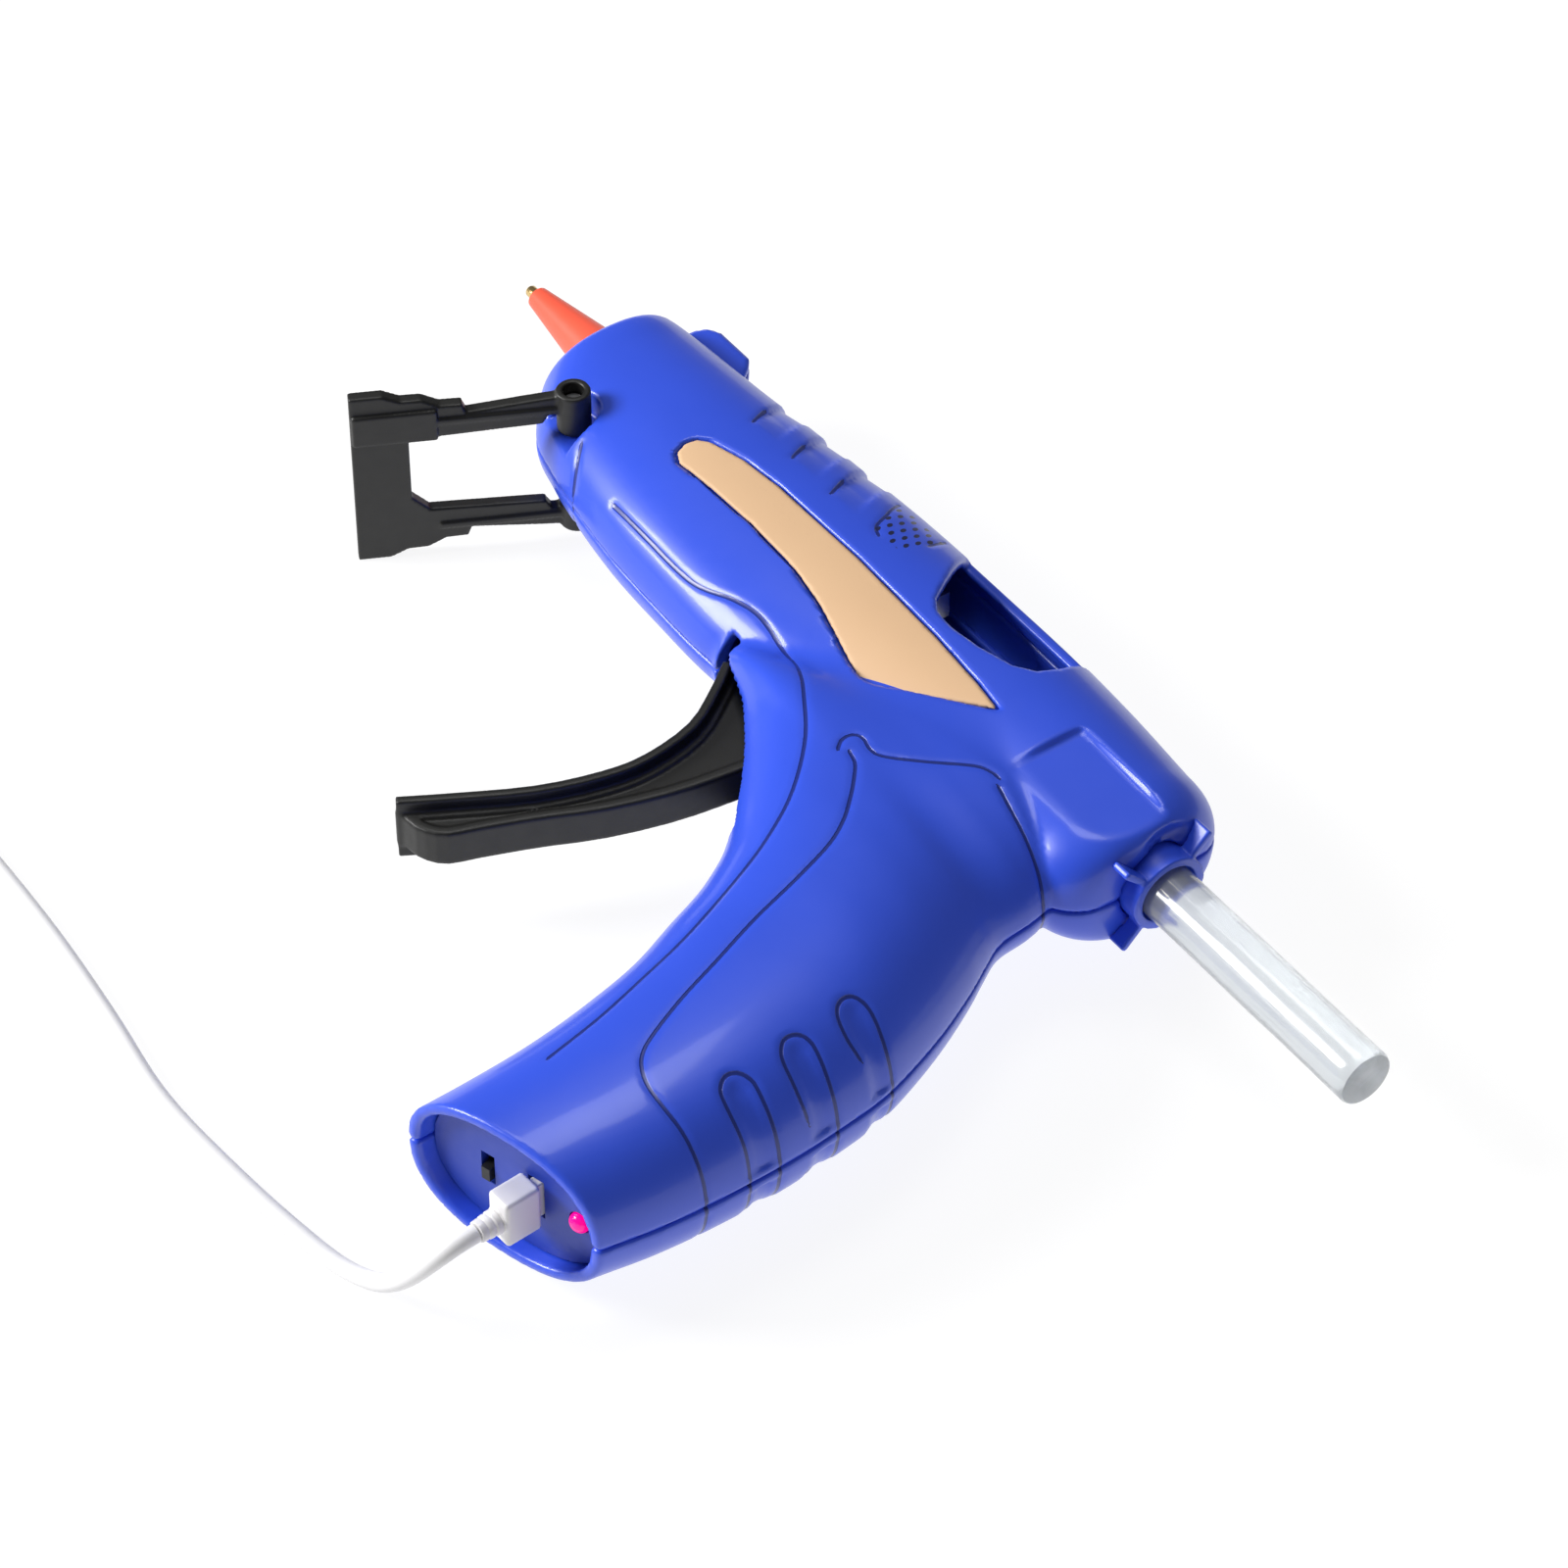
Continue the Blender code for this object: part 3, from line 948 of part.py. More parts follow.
def make_lead():
    """The plug, its relief, the free cord, its coil with a tie, and the far plug."""
    thick, length, width = PLUG_SIZE
    plug = lead_box("usb_plug", (-thick / 2, thick / 2), (-PLUG_CLEAR - length, -PLUG_CLEAR),
                    (-width / 2, width / 2), WHITE)
    thick, reach, width = PLUG_TONGUE
    join(plug, lead_box("plug_tongue", (-thick / 2, thick / 2), (-PLUG_CLEAR - 1.0, reach - 1.0),
                        (-width / 2, width / 2)))
    relief_top = -PLUG_CLEAR - length - GAP
    relief_end = relief_top - RELIEF_LENGTH
    rod("plug_relief", lead_point(relief_top), lead_point(relief_end), RELIEF_RADIUS, WHITE,
        end_radius=CORD_RADIUS + 0.4, steps=16)
    route = [lead_point(relief_end - GAP), lead_point(relief_end - GAP - 2.6)]
    route += [(GRIP + x, y - HANDLE_DROP, CORD_REST * (1.0 - share)) for x, y, share in CORD_ROUTE]
    coil_side = COIL_RADIUS + COIL_WIDTH / 2 + GAP + CORD_RADIUS
    middle = (GRIP + COIL_X, CORD_ROUTE[-1][1] - HANDLE_DROP - coil_side)
    route.append((middle[0], middle[1] + coil_side, CORD_REST))
    tube("usb_cord", smooth_path(route, CORD_STEP), CORD_RADIUS, WHITE)
    coil = coil_ring("cord_coil", middle, 0.0, WHITE)
    tie_box = ((middle[0] - COIL_RADIUS - COIL_WIDTH / 2 - 1.0, middle[1] - TIE_WIDTH / 2, FLOOR - 1.0),
               (middle[0] - COIL_RADIUS + COIL_WIDTH / 2 + 1.0, middle[1] + TIE_WIDTH / 2,
                FLOOR + COIL_HEIGHT + 1.0))
    cut(coil, box("tie_zone", np.subtract(tie_box[0], (0, GAP, 0)), np.add(tie_box[1], (0, GAP, 0))))
    join(coil, coil_ring("coil_core", middle, TIE_THICKNESS + GAP))
    tie = coil_ring("cord_tie", middle, 0.0, BLACK)
    boolean(tie, box("tie_keep", *tie_box), "INTERSECT")
    cut(tie, coil_ring("tie_room", middle, TIE_THICKNESS))
    start = (middle[0] + 2.0, middle[1] - coil_side)
    end = start[0] + FAR_RELIEF_LENGTH
    length, thick, width = FAR_PLUG_BODY
    height = FLOOR + thick / 2
    rod("far_relief", (*start, CORD_REST + 0.5), (end, start[1], height), CORD_RADIUS, WHITE,
        end_radius=thick / 2 - 0.5, steps=16)
    body = box("far_plug_body", (end + GAP, start[1] - width / 2, FLOOR),
               (end + GAP + length, start[1] + width / 2, FLOOR + thick), WHITE)
    bevel(body, 1.2)
    x = end + length + 2 * GAP
    length, thick, width = FAR_PLUG_SHELL
    shell = box("far_plug_shell", (x, start[1] - width / 2, height - thick / 2),
                (x + length, start[1] + width / 2, height + thick / 2), STEEL)
    cut(shell, box("far_plug_room", (x + 1.5, start[1] - width / 2 + FAR_PLUG_WALL,
                                     height - thick / 2 + FAR_PLUG_WALL),
                   (x + length + 1.0, start[1] + width / 2 - FAR_PLUG_WALL,
                    height + thick / 2 - FAR_PLUG_WALL)))


def coil_ring(name, middle, inset, look=None):
    """The coil of spare cord as one ring, or the same ring shrunk by an inset."""
    low, high = FLOOR + inset, FLOOR + COIL_HEIGHT - inset
    inner, outer = COIL_RADIUS - COIL_WIDTH / 2 + inset, COIL_RADIUS + COIL_WIDTH / 2 - inset
    edge = CORD_RADIUS * 0.7
    return turned(name, (
        (outer - edge, high), (outer, high - edge), (outer, low + edge), (outer - edge, low),
        (inner + edge, low), (inner, low + edge), (inner, high - edge), (inner + edge, high)),
        look, start=(*middle, 0.0), axis=(0.0, 0.0, 1.0), steps=32)


def centre_frame():
    """Move the gun's frame so that the origin lies under the middle of the gun."""
    bpy.context.view_layer.update()
    graph = bpy.context.evaluated_depsgraph_get()
    corners = []
    for part in PARTS.objects:
        if part.type == "MESH" and part.name not in LEAD_PARTS:
            seen = part.evaluated_get(graph)
            corners += [part.matrix_world @ vertex.co for vertex in seen.data.vertices]
    corners = np.array(corners)
    low, high = corners.min(axis=0), corners.max(axis=0)
    FRAME.location = (-(low[0] + high[0]) / 2.0, -(low[1] + high[1]) / 2.0, -low[2])


make_shells()
make_inlays()
make_hot_end()
make_feed()
make_trigger()
make_stand()
make_butt()
make_wires()
make_screws()
make_lead()
centre_frame()
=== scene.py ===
"""Looks of the rechargeable hot-melt glue gun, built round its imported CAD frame.

Shapes are worked out in the gun's own millimetres: x runs back from the nozzle
tip along the barrel axis, y to the top of the gun and z to its left side, with
the parting plane at z = 0.  Moulded pieces are signed distance fields, negative
inside the plastic, whose zero surface is sampled on a grid; round pieces are
profiles carried round an axis.
"""
import logging
import math
from dataclasses import dataclass
from enum import Enum
from typing import Callable, Sequence

import bmesh
import bpy
import numpy as np
from mathutils import Matrix, Vector


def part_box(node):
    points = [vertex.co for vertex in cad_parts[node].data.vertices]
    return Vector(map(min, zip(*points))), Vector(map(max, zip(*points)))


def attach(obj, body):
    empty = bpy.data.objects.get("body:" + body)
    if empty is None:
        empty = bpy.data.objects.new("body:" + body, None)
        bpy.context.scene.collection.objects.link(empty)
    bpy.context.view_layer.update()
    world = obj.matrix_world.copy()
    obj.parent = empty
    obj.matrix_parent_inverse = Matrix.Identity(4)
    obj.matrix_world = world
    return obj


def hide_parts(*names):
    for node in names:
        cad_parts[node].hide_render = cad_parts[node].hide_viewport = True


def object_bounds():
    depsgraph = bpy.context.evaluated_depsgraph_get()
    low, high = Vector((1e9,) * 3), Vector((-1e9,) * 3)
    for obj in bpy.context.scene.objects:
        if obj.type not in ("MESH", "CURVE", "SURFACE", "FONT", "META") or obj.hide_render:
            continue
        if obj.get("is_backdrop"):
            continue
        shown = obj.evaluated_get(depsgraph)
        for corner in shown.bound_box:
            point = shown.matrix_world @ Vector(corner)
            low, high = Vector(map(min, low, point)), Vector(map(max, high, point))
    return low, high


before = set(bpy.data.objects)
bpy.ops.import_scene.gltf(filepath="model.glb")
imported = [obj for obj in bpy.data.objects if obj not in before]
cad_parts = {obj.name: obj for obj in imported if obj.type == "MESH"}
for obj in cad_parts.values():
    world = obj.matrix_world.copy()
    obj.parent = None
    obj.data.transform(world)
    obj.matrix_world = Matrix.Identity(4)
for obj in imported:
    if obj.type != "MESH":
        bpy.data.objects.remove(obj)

Array = np.ndarray
Outline = Sequence[tuple[float, float]]
Field = Callable[[Array, Array, Array], Array]
LOG = logging.getLogger("glue_gun")
SECTION_POWER = 2.3
WALL = 2.2
LINE_REACH = 3.0


# ------------------------------------------------------------------ gun frame

@dataclass(frozen=True)
class GunFrame:
    """Places the gun's own millimetres in the row frame.

    Args:
        origin: the nozzle tip's place in the row frame, in metres.
    """

    origin: tuple[float, float, float]

    @classmethod
    def from_cad(cls) -> "GunFrame":
        """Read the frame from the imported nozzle, which lies on the barrel axis."""
        low, high = (np.array(corner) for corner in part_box("nozzle_tip"))
        middle = (low + high) / 2.0
        return cls((float(low[0]), float(middle[1]), float(middle[2])))

    def row(self, points: Array) -> Array:
        """Gun millimetres to row metres."""
        return np.asarray(points, dtype=float) * 0.001 + np.array(self.origin)


GUN = GunFrame.from_cad()


# ------------------------------------------------------------------ curves and fields

def smooth_table(table: Sequence[Sequence[float]], at: Array) -> Array:
    """Read a table of stations at new places with a cubic through its rows.

    The slope at a row is the weighted mean of the slopes on both sides.

    Args:
        table: rows of (place, value, value, ...), in rising order of place.
        at: the places to read, of any shape.

    Returns:
        The values, with one more axis than at.
    """
    rows = np.asarray(table, dtype=float)
    key, values = rows[:, 0], rows[:, 1:]
    step = np.diff(key)[:, None]
    rise = np.diff(values, axis=0) / step
    mean = (rise[1:] * step[:-1] + rise[:-1] * step[1:]) / (step[1:] + step[:-1])
    slope = np.vstack([rise[:1], mean, rise[-1:]])
    at = np.clip(np.asarray(at, dtype=float), key[0], key[-1])
    row = np.clip(np.searchsorted(key, at) - 1, 0, len(key) - 2)
    span = step[row, 0]
    t = ((at - key[row]) / span)[..., None]
    span = span[..., None]
    return ((2 * t**3 - 3 * t**2 + 1) * values[row] + (t**3 - 2 * t**2 + t) * span * slope[row]
            + (3 * t**2 - 2 * t**3) * values[row + 1] + (t**3 - t**2) * span * slope[row + 1])


def smooth_line(points: Sequence[Sequence[float]], count: int) -> Array:
    """A smooth curve through the given points, as count points."""
    rows = [(number, *point) for number, point in enumerate(points)]
    return smooth_table(rows, np.linspace(0.0, len(rows) - 1.0, count))


def line_distance(x: Array, y: Array, points: Outline) -> Array:
    """Distance in the x-y plane to the nearest of a run of straight pieces.

    Args:
        x, y: the places to measure from.
        points: the ends of the straight pieces, in order.

    Returns:
        The distance at each place.
    """
    best = np.full(np.broadcast(x, y).shape, 1e9)
    for (ax, ay), (bx, by) in zip(points[:-1], points[1:]):
        ex, ey = bx - ax, by - ay
        t = np.clip(((x - ax) * ex + (y - ay) * ey) / (ex * ex + ey * ey), 0.0, 1.0)
        best = np.minimum(best, (x - ax - t * ex) ** 2 + (y - ay - t * ey) ** 2)
    return np.sqrt(best)


def line_offset(x: Array, y: Array, points: Outline) -> Array:
    """Signed distance in the x-y plane to a run of straight pieces.

    It goes evenly through 0 across a line, so it survives interpolation between the
    points of a mesh, but its sign jumps beyond a line's ends.

    Args:
        x, y: the places to measure from.
        points: the ends of the straight pieces, in order.

    Returns:
        The distance at each place, positive on the run's left.
    """
    best = np.full(np.broadcast(x, y).shape, 1e9)
    side = np.zeros_like(best)
    for (ax, ay), (bx, by) in zip(points[:-1], points[1:]):
        ex, ey = bx - ax, by - ay
        t = np.clip(((x - ax) * ex + (y - ay) * ey) / (ex * ex + ey * ey), 0.0, 1.0)
        far = (x - ax - t * ex) ** 2 + (y - ay - t * ey) ** 2
        side = np.where(far < best, ex * (y - ay) - ey * (x - ax), side)
        best = np.minimum(best, far)
    return np.copysign(np.sqrt(best), side)


def outline_distance(x: Array, y: Array, outline: Outline) -> Array:
    """Signed distance in the x-y plane to a closed outline, negative inside.

    A point is inside when a ray from it crosses the outline an odd number of times.

    Args:
        x, y: the places to measure from.
        outline: the outline's corners, the last joined to the first.

    Returns:
        The signed distance at each place.
    """
    inside = np.zeros(np.broadcast(x, y).shape, dtype=bool)
    closed = list(outline) + [outline[0]]
    for (ax, ay), (bx, by) in zip(closed[:-1], closed[1:]):
        if ay != by:
            crosses = ((ay > y) != (by > y)) & (x < (bx - ax) * (y - ay) / (by - ay) + ax)
            inside ^= crosses
    distance = line_distance(x, y, closed)
    return np.where(inside, -distance, distance)


def blend(a: Array, b: Array, radius: Array | float) -> Array:
    """Join two solids, with a fillet of about the given radius where they meet."""
    h = np.clip(0.5 + 0.5 * (b - a) / radius, 0.0, 1.0)
    return b + (a - b) * h - radius * h * (1.0 - h)


def shared(a: Array, b: Array, radius: float) -> Array:
    """What two solids share, with an edge round of about the given radius."""
    return -blend(-a, -b, radius)


def less(a: Array, b: Array, radius: float) -> Array:
    """The first solid without the second, with an edge round of about the radius."""
    return shared(a, -b, radius)


def block(x: Array, y: Array, z: Array, low: Sequence[float], high: Sequence[float],
          radius: float) -> Array:
    """Signed distance to a block with rounded edges.

    Args:
        x, y, z: the places to measure from.
        low, high: the block's opposite corners.
        radius: the radius of its edges.

    Returns:
        The signed distance at each place.
    """
    parts = [np.abs(v - (a + b) / 2.0) - ((b - a) / 2.0 - radius)
             for v, a, b in zip((x, y, z), low, high)]
    outside = np.sqrt(sum(np.maximum(part, 0.0) ** 2 for part in parts))
    return outside + np.minimum(np.maximum(np.maximum(parts[0], parts[1]), parts[2]), 0.0) - radius


def oval_distance(a: Array, half_a: Array, b: Array, half_b: Array) -> Array:
    """Nearly the distance to a superellipse with the body's section exponent.

    rho is the exponent-th root of |a/half_a|^n + |b/half_b|^n, and the distance is
    rho - 1 divided by the length of rho's slope.

    Args:
        a, b: places measured from the middle along the two axes.
        half_a, half_b: the half sizes along them.

    Returns:
        The signed distance at each place, negative inside.
    """
    u, v = np.abs(a) / half_a, np.abs(b) / half_b
    rho = np.maximum((u**SECTION_POWER + v**SECTION_POWER) ** (1.0 / SECTION_POWER), 0.15)
    slope_a = (u / rho) ** (SECTION_POWER - 1.0) / half_a
    slope_b = (v / rho) ** (SECTION_POWER - 1.0) / half_b
    return (rho - 1.0) / np.sqrt(slope_a**2 + slope_b**2 + 1e-9)


# ------------------------------------------------------------------ meshes

def sample_surface(solid: Field, low: Sequence[float], high: Sequence[float],
                   step: float) -> tuple[Array, Array]:
    """The zero surface of a field as points and four-sided faces.

    A grid cell whose corners differ in sign holds one point, the mean of the places
    where the field changes sign on its edges; each grid edge that changes sign joins
    the points of its four cells.  The points then slide along the field's slope onto
    the surface.

    Args:
        solid: the signed distance field, in millimetres.
        low, high: opposite corners of the grid.
        step: its spacing.

    Returns:
        The points in millimetres and the faces' point numbers.
    """
    axes = [np.arange(a, b + step, step) for a, b in zip(low, high)]
    value = solid(axes[0][:, None, None], axes[1][None, :, None], axes[2][None, None, :])
    value = np.ascontiguousarray(np.broadcast_to(value, [len(a) for a in axes]))
    shape = np.array(value.shape) - 1
    total = np.zeros((*shape, 3), dtype=np.float32)
    count = np.zeros(shape, dtype=np.float32)
    for axis in range(3):
        first = np.take(value, range(shape[axis]), axis)
        second = np.take(value, range(1, shape[axis] + 1), axis)
        change = (first < 0) != (second < 0)
        t = np.where(change, first / np.where(change, first - second, 1.0), 0.0)
        others = [a for a in range(3) if a != axis]
        for da in (0, 1):
            for db in (0, 1):
                pick = [slice(None)] * 3
                pick[others[0]] = slice(da, da + shape[others[0]])
                pick[others[1]] = slice(db, db + shape[others[1]])
                hit = change[tuple(pick)]
                count += hit
                total[..., axis] += t[tuple(pick)]
                total[..., others[0]] += hit * da
                total[..., others[1]] += hit * db
    active = count > 0
    number = np.full(shape, -1, dtype=np.int64)
    number[active] = np.arange(active.sum())
    cell = np.argwhere(active)
    places = np.column_stack([axes[a][cell[:, a]] for a in range(3)])
    points = places + step * total[active] / count[active][:, None]
    faces = []
    for axis in range(3):
        first = np.take(value, range(shape[axis]), axis)
        second = np.take(value, range(1, shape[axis] + 1), axis)
        others = [(axis + 1) % 3, (axis + 2) % 3]
        pick = [slice(None)] * 3
        for other in others:
            pick[other] = slice(1, shape[other])
        change = ((first < 0) != (second < 0))[tuple(pick)]
        rising = (first < 0)[tuple(pick)][change]
        corner = np.argwhere(change)
        corner[:, others[0]] += 1
        corner[:, others[1]] += 1
        ring = []
        for da, db in ((-1, -1), (0, -1), (0, 0), (-1, 0)):
            at = corner.copy()
            at[:, others[0]] += da
            at[:, others[1]] += db
            ring.append(number[at[:, 0], at[:, 1], at[:, 2]])
        quad = np.column_stack(ring)
        faces.append(np.where(rising[:, None], quad, quad[:, ::-1]))
    return settle(solid, points, step), np.vstack(faces)


def settle(solid: Field, points: Array, step: float) -> Array:
    """Slide points along a field's slope until they lie on its zero surface.

    Args:
        solid: the field.
        points: the points to slide, in millimetres.
        step: the grid's spacing; no point moves half of it along any axis.

    Returns:
        The points on the surface.
    """
    reach = step * 0.45
    start = points.copy()
    for _ in range(3):
        slope = np.empty_like(points)
        for axis in range(3):
            shift = np.zeros(3)
            shift[axis] = step * 0.15
            ahead, behind = (points + shift).T, (points - shift).T
            slope[:, axis] = (solid(*ahead) - solid(*behind)) / (2.0 * shift[axis])
        size = np.maximum((slope**2).sum(axis=1), 0.2)
        points = points - (solid(*points.T) / size)[:, None] * slope * 0.9
        points = start + np.clip(points - start, -reach, reach)
    return points


def mesh_piece(name: str, points: Array, faces: Array,
               marks: dict[str, Array] | None = None) -> bpy.types.Object:
    """A smooth piece from points in gun millimetres and its faces, at the row's origin.

    Args:
        name: the piece's name.
        points, faces: its surface.
        marks: named numbers to keep on the points for the finish to read.

    Returns:
        The piece.
    """
    mesh = bpy.data.meshes.new(name)
    mesh.from_pydata(GUN.row(points), [], np.asarray(faces).tolist())
    mesh.polygons.foreach_set("use_smooth", np.ones(len(mesh.polygons), dtype=bool))
    for key, values in (marks or {}).items():
        mesh.attributes.new(key, "FLOAT", "POINT").data.foreach_set("value", values.astype(np.float32))
    mesh.update()
    piece = bpy.data.objects.new(name, mesh)
    bpy.context.scene.collection.objects.link(piece)
    return piece


def turned_surface(profile: Outline, start: Sequence[float], axis: Sequence[float],
                   sides: int) -> tuple[Array, Array]:
    """A profile of (radius, distance) carried round an axis.

    Point (i, j) lies at profile radius i from the axis, in the direction of angle j.
    A profile that starts and ends on the axis closes at both poles.

    Args:
        profile: pairs of radius and distance along the axis.
        start: the axis's zero point, in millimetres.
        axis: its direction.
        sides: how many steps make the round.

    Returns:
        The points in millimetres and the faces' point numbers.
    """
    along = Vector(axis).normalized()
    turn = np.array(Vector((0.0, 0.0, 1.0)).rotation_difference(along).to_matrix())
    radius, distance = np.asarray(profile, dtype=float).T
    angle = np.arange(sides) * 2.0 * math.pi / sides
    ring = np.stack([radius[:, None] * np.cos(angle), radius[:, None] * np.sin(angle),
                     np.broadcast_to(distance[:, None], (len(radius), sides))], axis=-1)
    points = ring.reshape(-1, 3) @ turn.T + np.asarray(start, dtype=float)
    row, side = np.meshgrid(np.arange(len(radius) - 1), np.arange(sides), indexing="ij")
    after = (side + 1) % sides
    faces = np.stack([row * sides + side, row * sides + after,
                      (row + 1) * sides + after, (row + 1) * sides + side], axis=-1)
    return points, faces.reshape(-1, 4)


def turned_piece(name: str, profile: Outline, start: Sequence[float], axis: Sequence[float],
                 sides: int = 96, soften: float = 0.0) -> bpy.types.Object:
    """A turned piece, with merged poles, outward faces and softened edges.

    Args:
        name: the piece's name.
        profile: pairs of radius and distance along the axis.
        start: the axis's zero point, in millimetres.
        axis: its direction.
        sides: how many steps make the round.
        soften: width of the edges' round, in millimetres, or 0 for none.

    Returns:
        The piece.
    """
    points, faces = turned_surface(profile, start, axis, sides)
    piece = mesh_piece(name, points, faces)
    bm = bmesh.new()
    bm.from_mesh(piece.data)
    bmesh.ops.remove_doubles(bm, verts=bm.verts, dist=1e-7)
    bmesh.ops.recalc_face_normals(bm, faces=bm.faces)
    bm.to_mesh(piece.data)
    bm.free()
    piece.data.set_sharp_from_angle(angle=math.radians(32.0))
    if soften:
        edge = piece.modifiers.new("soft_edges", "BEVEL")
        edge.width = soften * 0.001
        edge.segments = 3
        edge.limit_method = "ANGLE"
        edge.angle_limit = math.radians(32.0)
    return piece


# ------------------------------------------------------------------ shader maths

class Socket:
    """A shader output that can be used in Python expressions."""

    def __init__(self, tree: "NodeTree", output: bpy.types.NodeSocket) -> None:
        """Keep the output and the tree it is in."""
        self.tree = tree
        self.output = output

    def _math(self, operation: str, *values: "Socket | float") -> "Socket":
        """One Math node on numbers or outputs."""
        return self.tree.node("ShaderNodeMath", {"operation": operation}, dict(enumerate(values)))

    def __add__(self, other: "Socket | float") -> "Socket":
        """Sum."""
        return self._math("ADD", self, other)

    __radd__ = __add__

    def __sub__(self, other: "Socket | float") -> "Socket":
        """Difference."""
        return self._math("SUBTRACT", self, other)

    def __rsub__(self, other: "Socket | float") -> "Socket":
        """Difference from a number."""
        return self._math("SUBTRACT", other, self)

    def __mul__(self, other: "Socket | float") -> "Socket":
        """Product."""
        return self._math("MULTIPLY", self, other)

    __rmul__ = __mul__

    def __truediv__(self, other: "Socket | float") -> "Socket":
        """Quotient."""
        return self._math("DIVIDE", self, other)

    def __gt__(self, other: "Socket | float") -> "Socket":
        """1 where this is greater."""
        return self._math("GREATER_THAN", self, other)

    def __lt__(self, other: "Socket | float") -> "Socket":
        """1 where this is less."""
        return self._math("LESS_THAN", self, other)

    def absolute(self) -> "Socket":
        """Size without sign."""
        return self._math("ABSOLUTE", self)

    def distance_to_whole(self) -> "Socket":
        """Distance to the nearest whole number."""
        return self._math("PINGPONG", self, 0.5)


class NodeTree:
    """Builds one material's nodes."""

    def __init__(self, name: str) -> None:
        """Start an empty material.

        Args:
            name: the material's name.
        """
        self.material = bpy.data.materials.new(name)
        self.material.use_nodes = True
        self.nodes = self.material.node_tree.nodes
        self.links = self.material.node_tree.links
        self.nodes.clear()

    def node(self, kind: str, settings: dict | None = None, sockets: dict | None = None,
             output: int | str = 0) -> Socket:
        """Add one node.

        Args:
            kind: the node's type.
            settings: its settings, such as an operation, or a ramp's stops.
            sockets: values or links of its inputs, by name or number.
            output: the output to hand back, by name or number.

        Returns:
            The chosen output.
        """
        made = self.nodes.new(kind)
        for key, value in (settings or {}).items():
            if key == "stops":
                ramp = made.color_ramp.elements
                ramp[0].position, ramp[0].color = value[0]
                ramp[1].position, ramp[1].color = value[-1]
                for place, colour in value[1:-1]:
                    ramp.new(place).color = colour
            else:
                setattr(made, key, value)
        for key, value in (sockets or {}).items():
            socket = made.inputs[key]
            if isinstance(value, Socket):
                self.links.new(value.output, socket)
            else:
                socket.default_value = value
        return Socket(self, made.outputs[output])

    def place(self, scale: float = 1000.0) -> Socket:
        """Object coordinates, in millimetres when the scale is 1000."""
        position = self.node("ShaderNodeTexCoord", output="Object")
        return self.node("ShaderNodeVectorMath", {"operation": "SCALE"},
                         {0: position, "Scale": scale})

    def split(self, vector: Socket) -> list[Socket]:
        """The x, y and z of a vector."""
        parts = self.nodes.new("ShaderNodeSeparateXYZ")
        self.links.new(vector.output, parts.inputs[0])
        return [Socket(self, parts.outputs[i]) for i in range(3)]

    def noise(self, vector: Socket, scale: float, detail: float = 3.0) -> Socket:
        """Cloudy noise, as a number."""
        return self.node("ShaderNodeTexNoise", {"noise_dimensions": "3D"},
                         {"Vector": vector, "Scale": scale, "Detail": detail})

    def mix(self, factor: Socket | float, a: Sequence[float] | Socket,
            b: Sequence[float] | Socket) -> Socket:
        """A colour between two colours."""
        return self.node("ShaderNodeMix", {"data_type": "RGBA"},
                         {0: factor, 6: a if isinstance(a, Socket) else (*a, 1.0),
                          7: b if isinstance(b, Socket) else (*b, 1.0)}, output=2)

    def bump(self, height: Socket, strength: float, distance: float = 0.0005,
             normal: Socket | None = None) -> Socket:
        """A bumped normal from a height.

        Args:
            height: the height, from 0 to 1.
            strength: the bump's share.
            distance: the height of 1, in metres.
            normal: the normal to start from.

        Returns:
            The normal.
        """
        sockets = {"Height": height, "Strength": strength, "Distance": distance}
        if normal is not None:
            sockets["Normal"] = normal
        return self.node("ShaderNodeBump", None, sockets)

    def finish(self, **sockets: "Socket | float | Sequence[float]") -> bpy.types.Material:
        """Close the material with a Principled shader.

        Args:
            sockets: the shader's inputs, by their names in small letters.

        Returns:
            The material.
        """
        named = {key.replace("_", " ").title().replace("Ior", "IOR"): value
                 for key, value in sockets.items()}
        shader = self.node("ShaderNodeBsdfPrincipled", None, named)
        self.node_out(shader)
        return self.material

    def node_out(self, shader: Socket) -> None:
        """Link the shader to the material's output."""
        end = self.nodes.new("ShaderNodeOutputMaterial")
        self.links.new(shader.output, end.inputs["Surface"])


Colour = tuple[float, float, float]


@dataclass(frozen=True)
class MouldedPlastic:
    """Moulded plastic with a fine spark-eroded grain.

    Args:
        name: the material's name.
        colour, shade: its colour, and the slightly deeper one it drifts to.
        roughness: mean roughness.
        grain: grain size, as noise scale per millimetre.
        relief: strength of the grain's bump.
        coat: weight of the polished skin.
    """

    name: str
    colour: Colour
    shade: Colour
    roughness: float = 0.4
    grain: float = 3.0
    relief: float = 0.08
    coat: float = 0.0

    def build(self) -> bpy.types.Material:
        """Drifting colour, uneven gloss, grain and soft sink marks.

        Returns:
            The material.
        """
        tree = NodeTree(self.name)
        place = tree.place()
        cloud = tree.noise(place, 0.045, 2.0)
        fine = tree.noise(place, self.grain, 2.0)
        smear = tree.noise(place, 0.35, 4.0)
        wave = tree.bump(cloud, 0.12, 0.0006)
        normal = tree.bump(fine, self.relief, 0.0001, wave)
        return tree.finish(
            base_color=tree.mix(cloud, self.colour, self.shade),
            roughness=(smear - 0.5) * 0.16 + (fine - 0.5) * 0.08 + self.roughness,
            normal=normal, coat_weight=self.coat, coat_roughness=0.12)


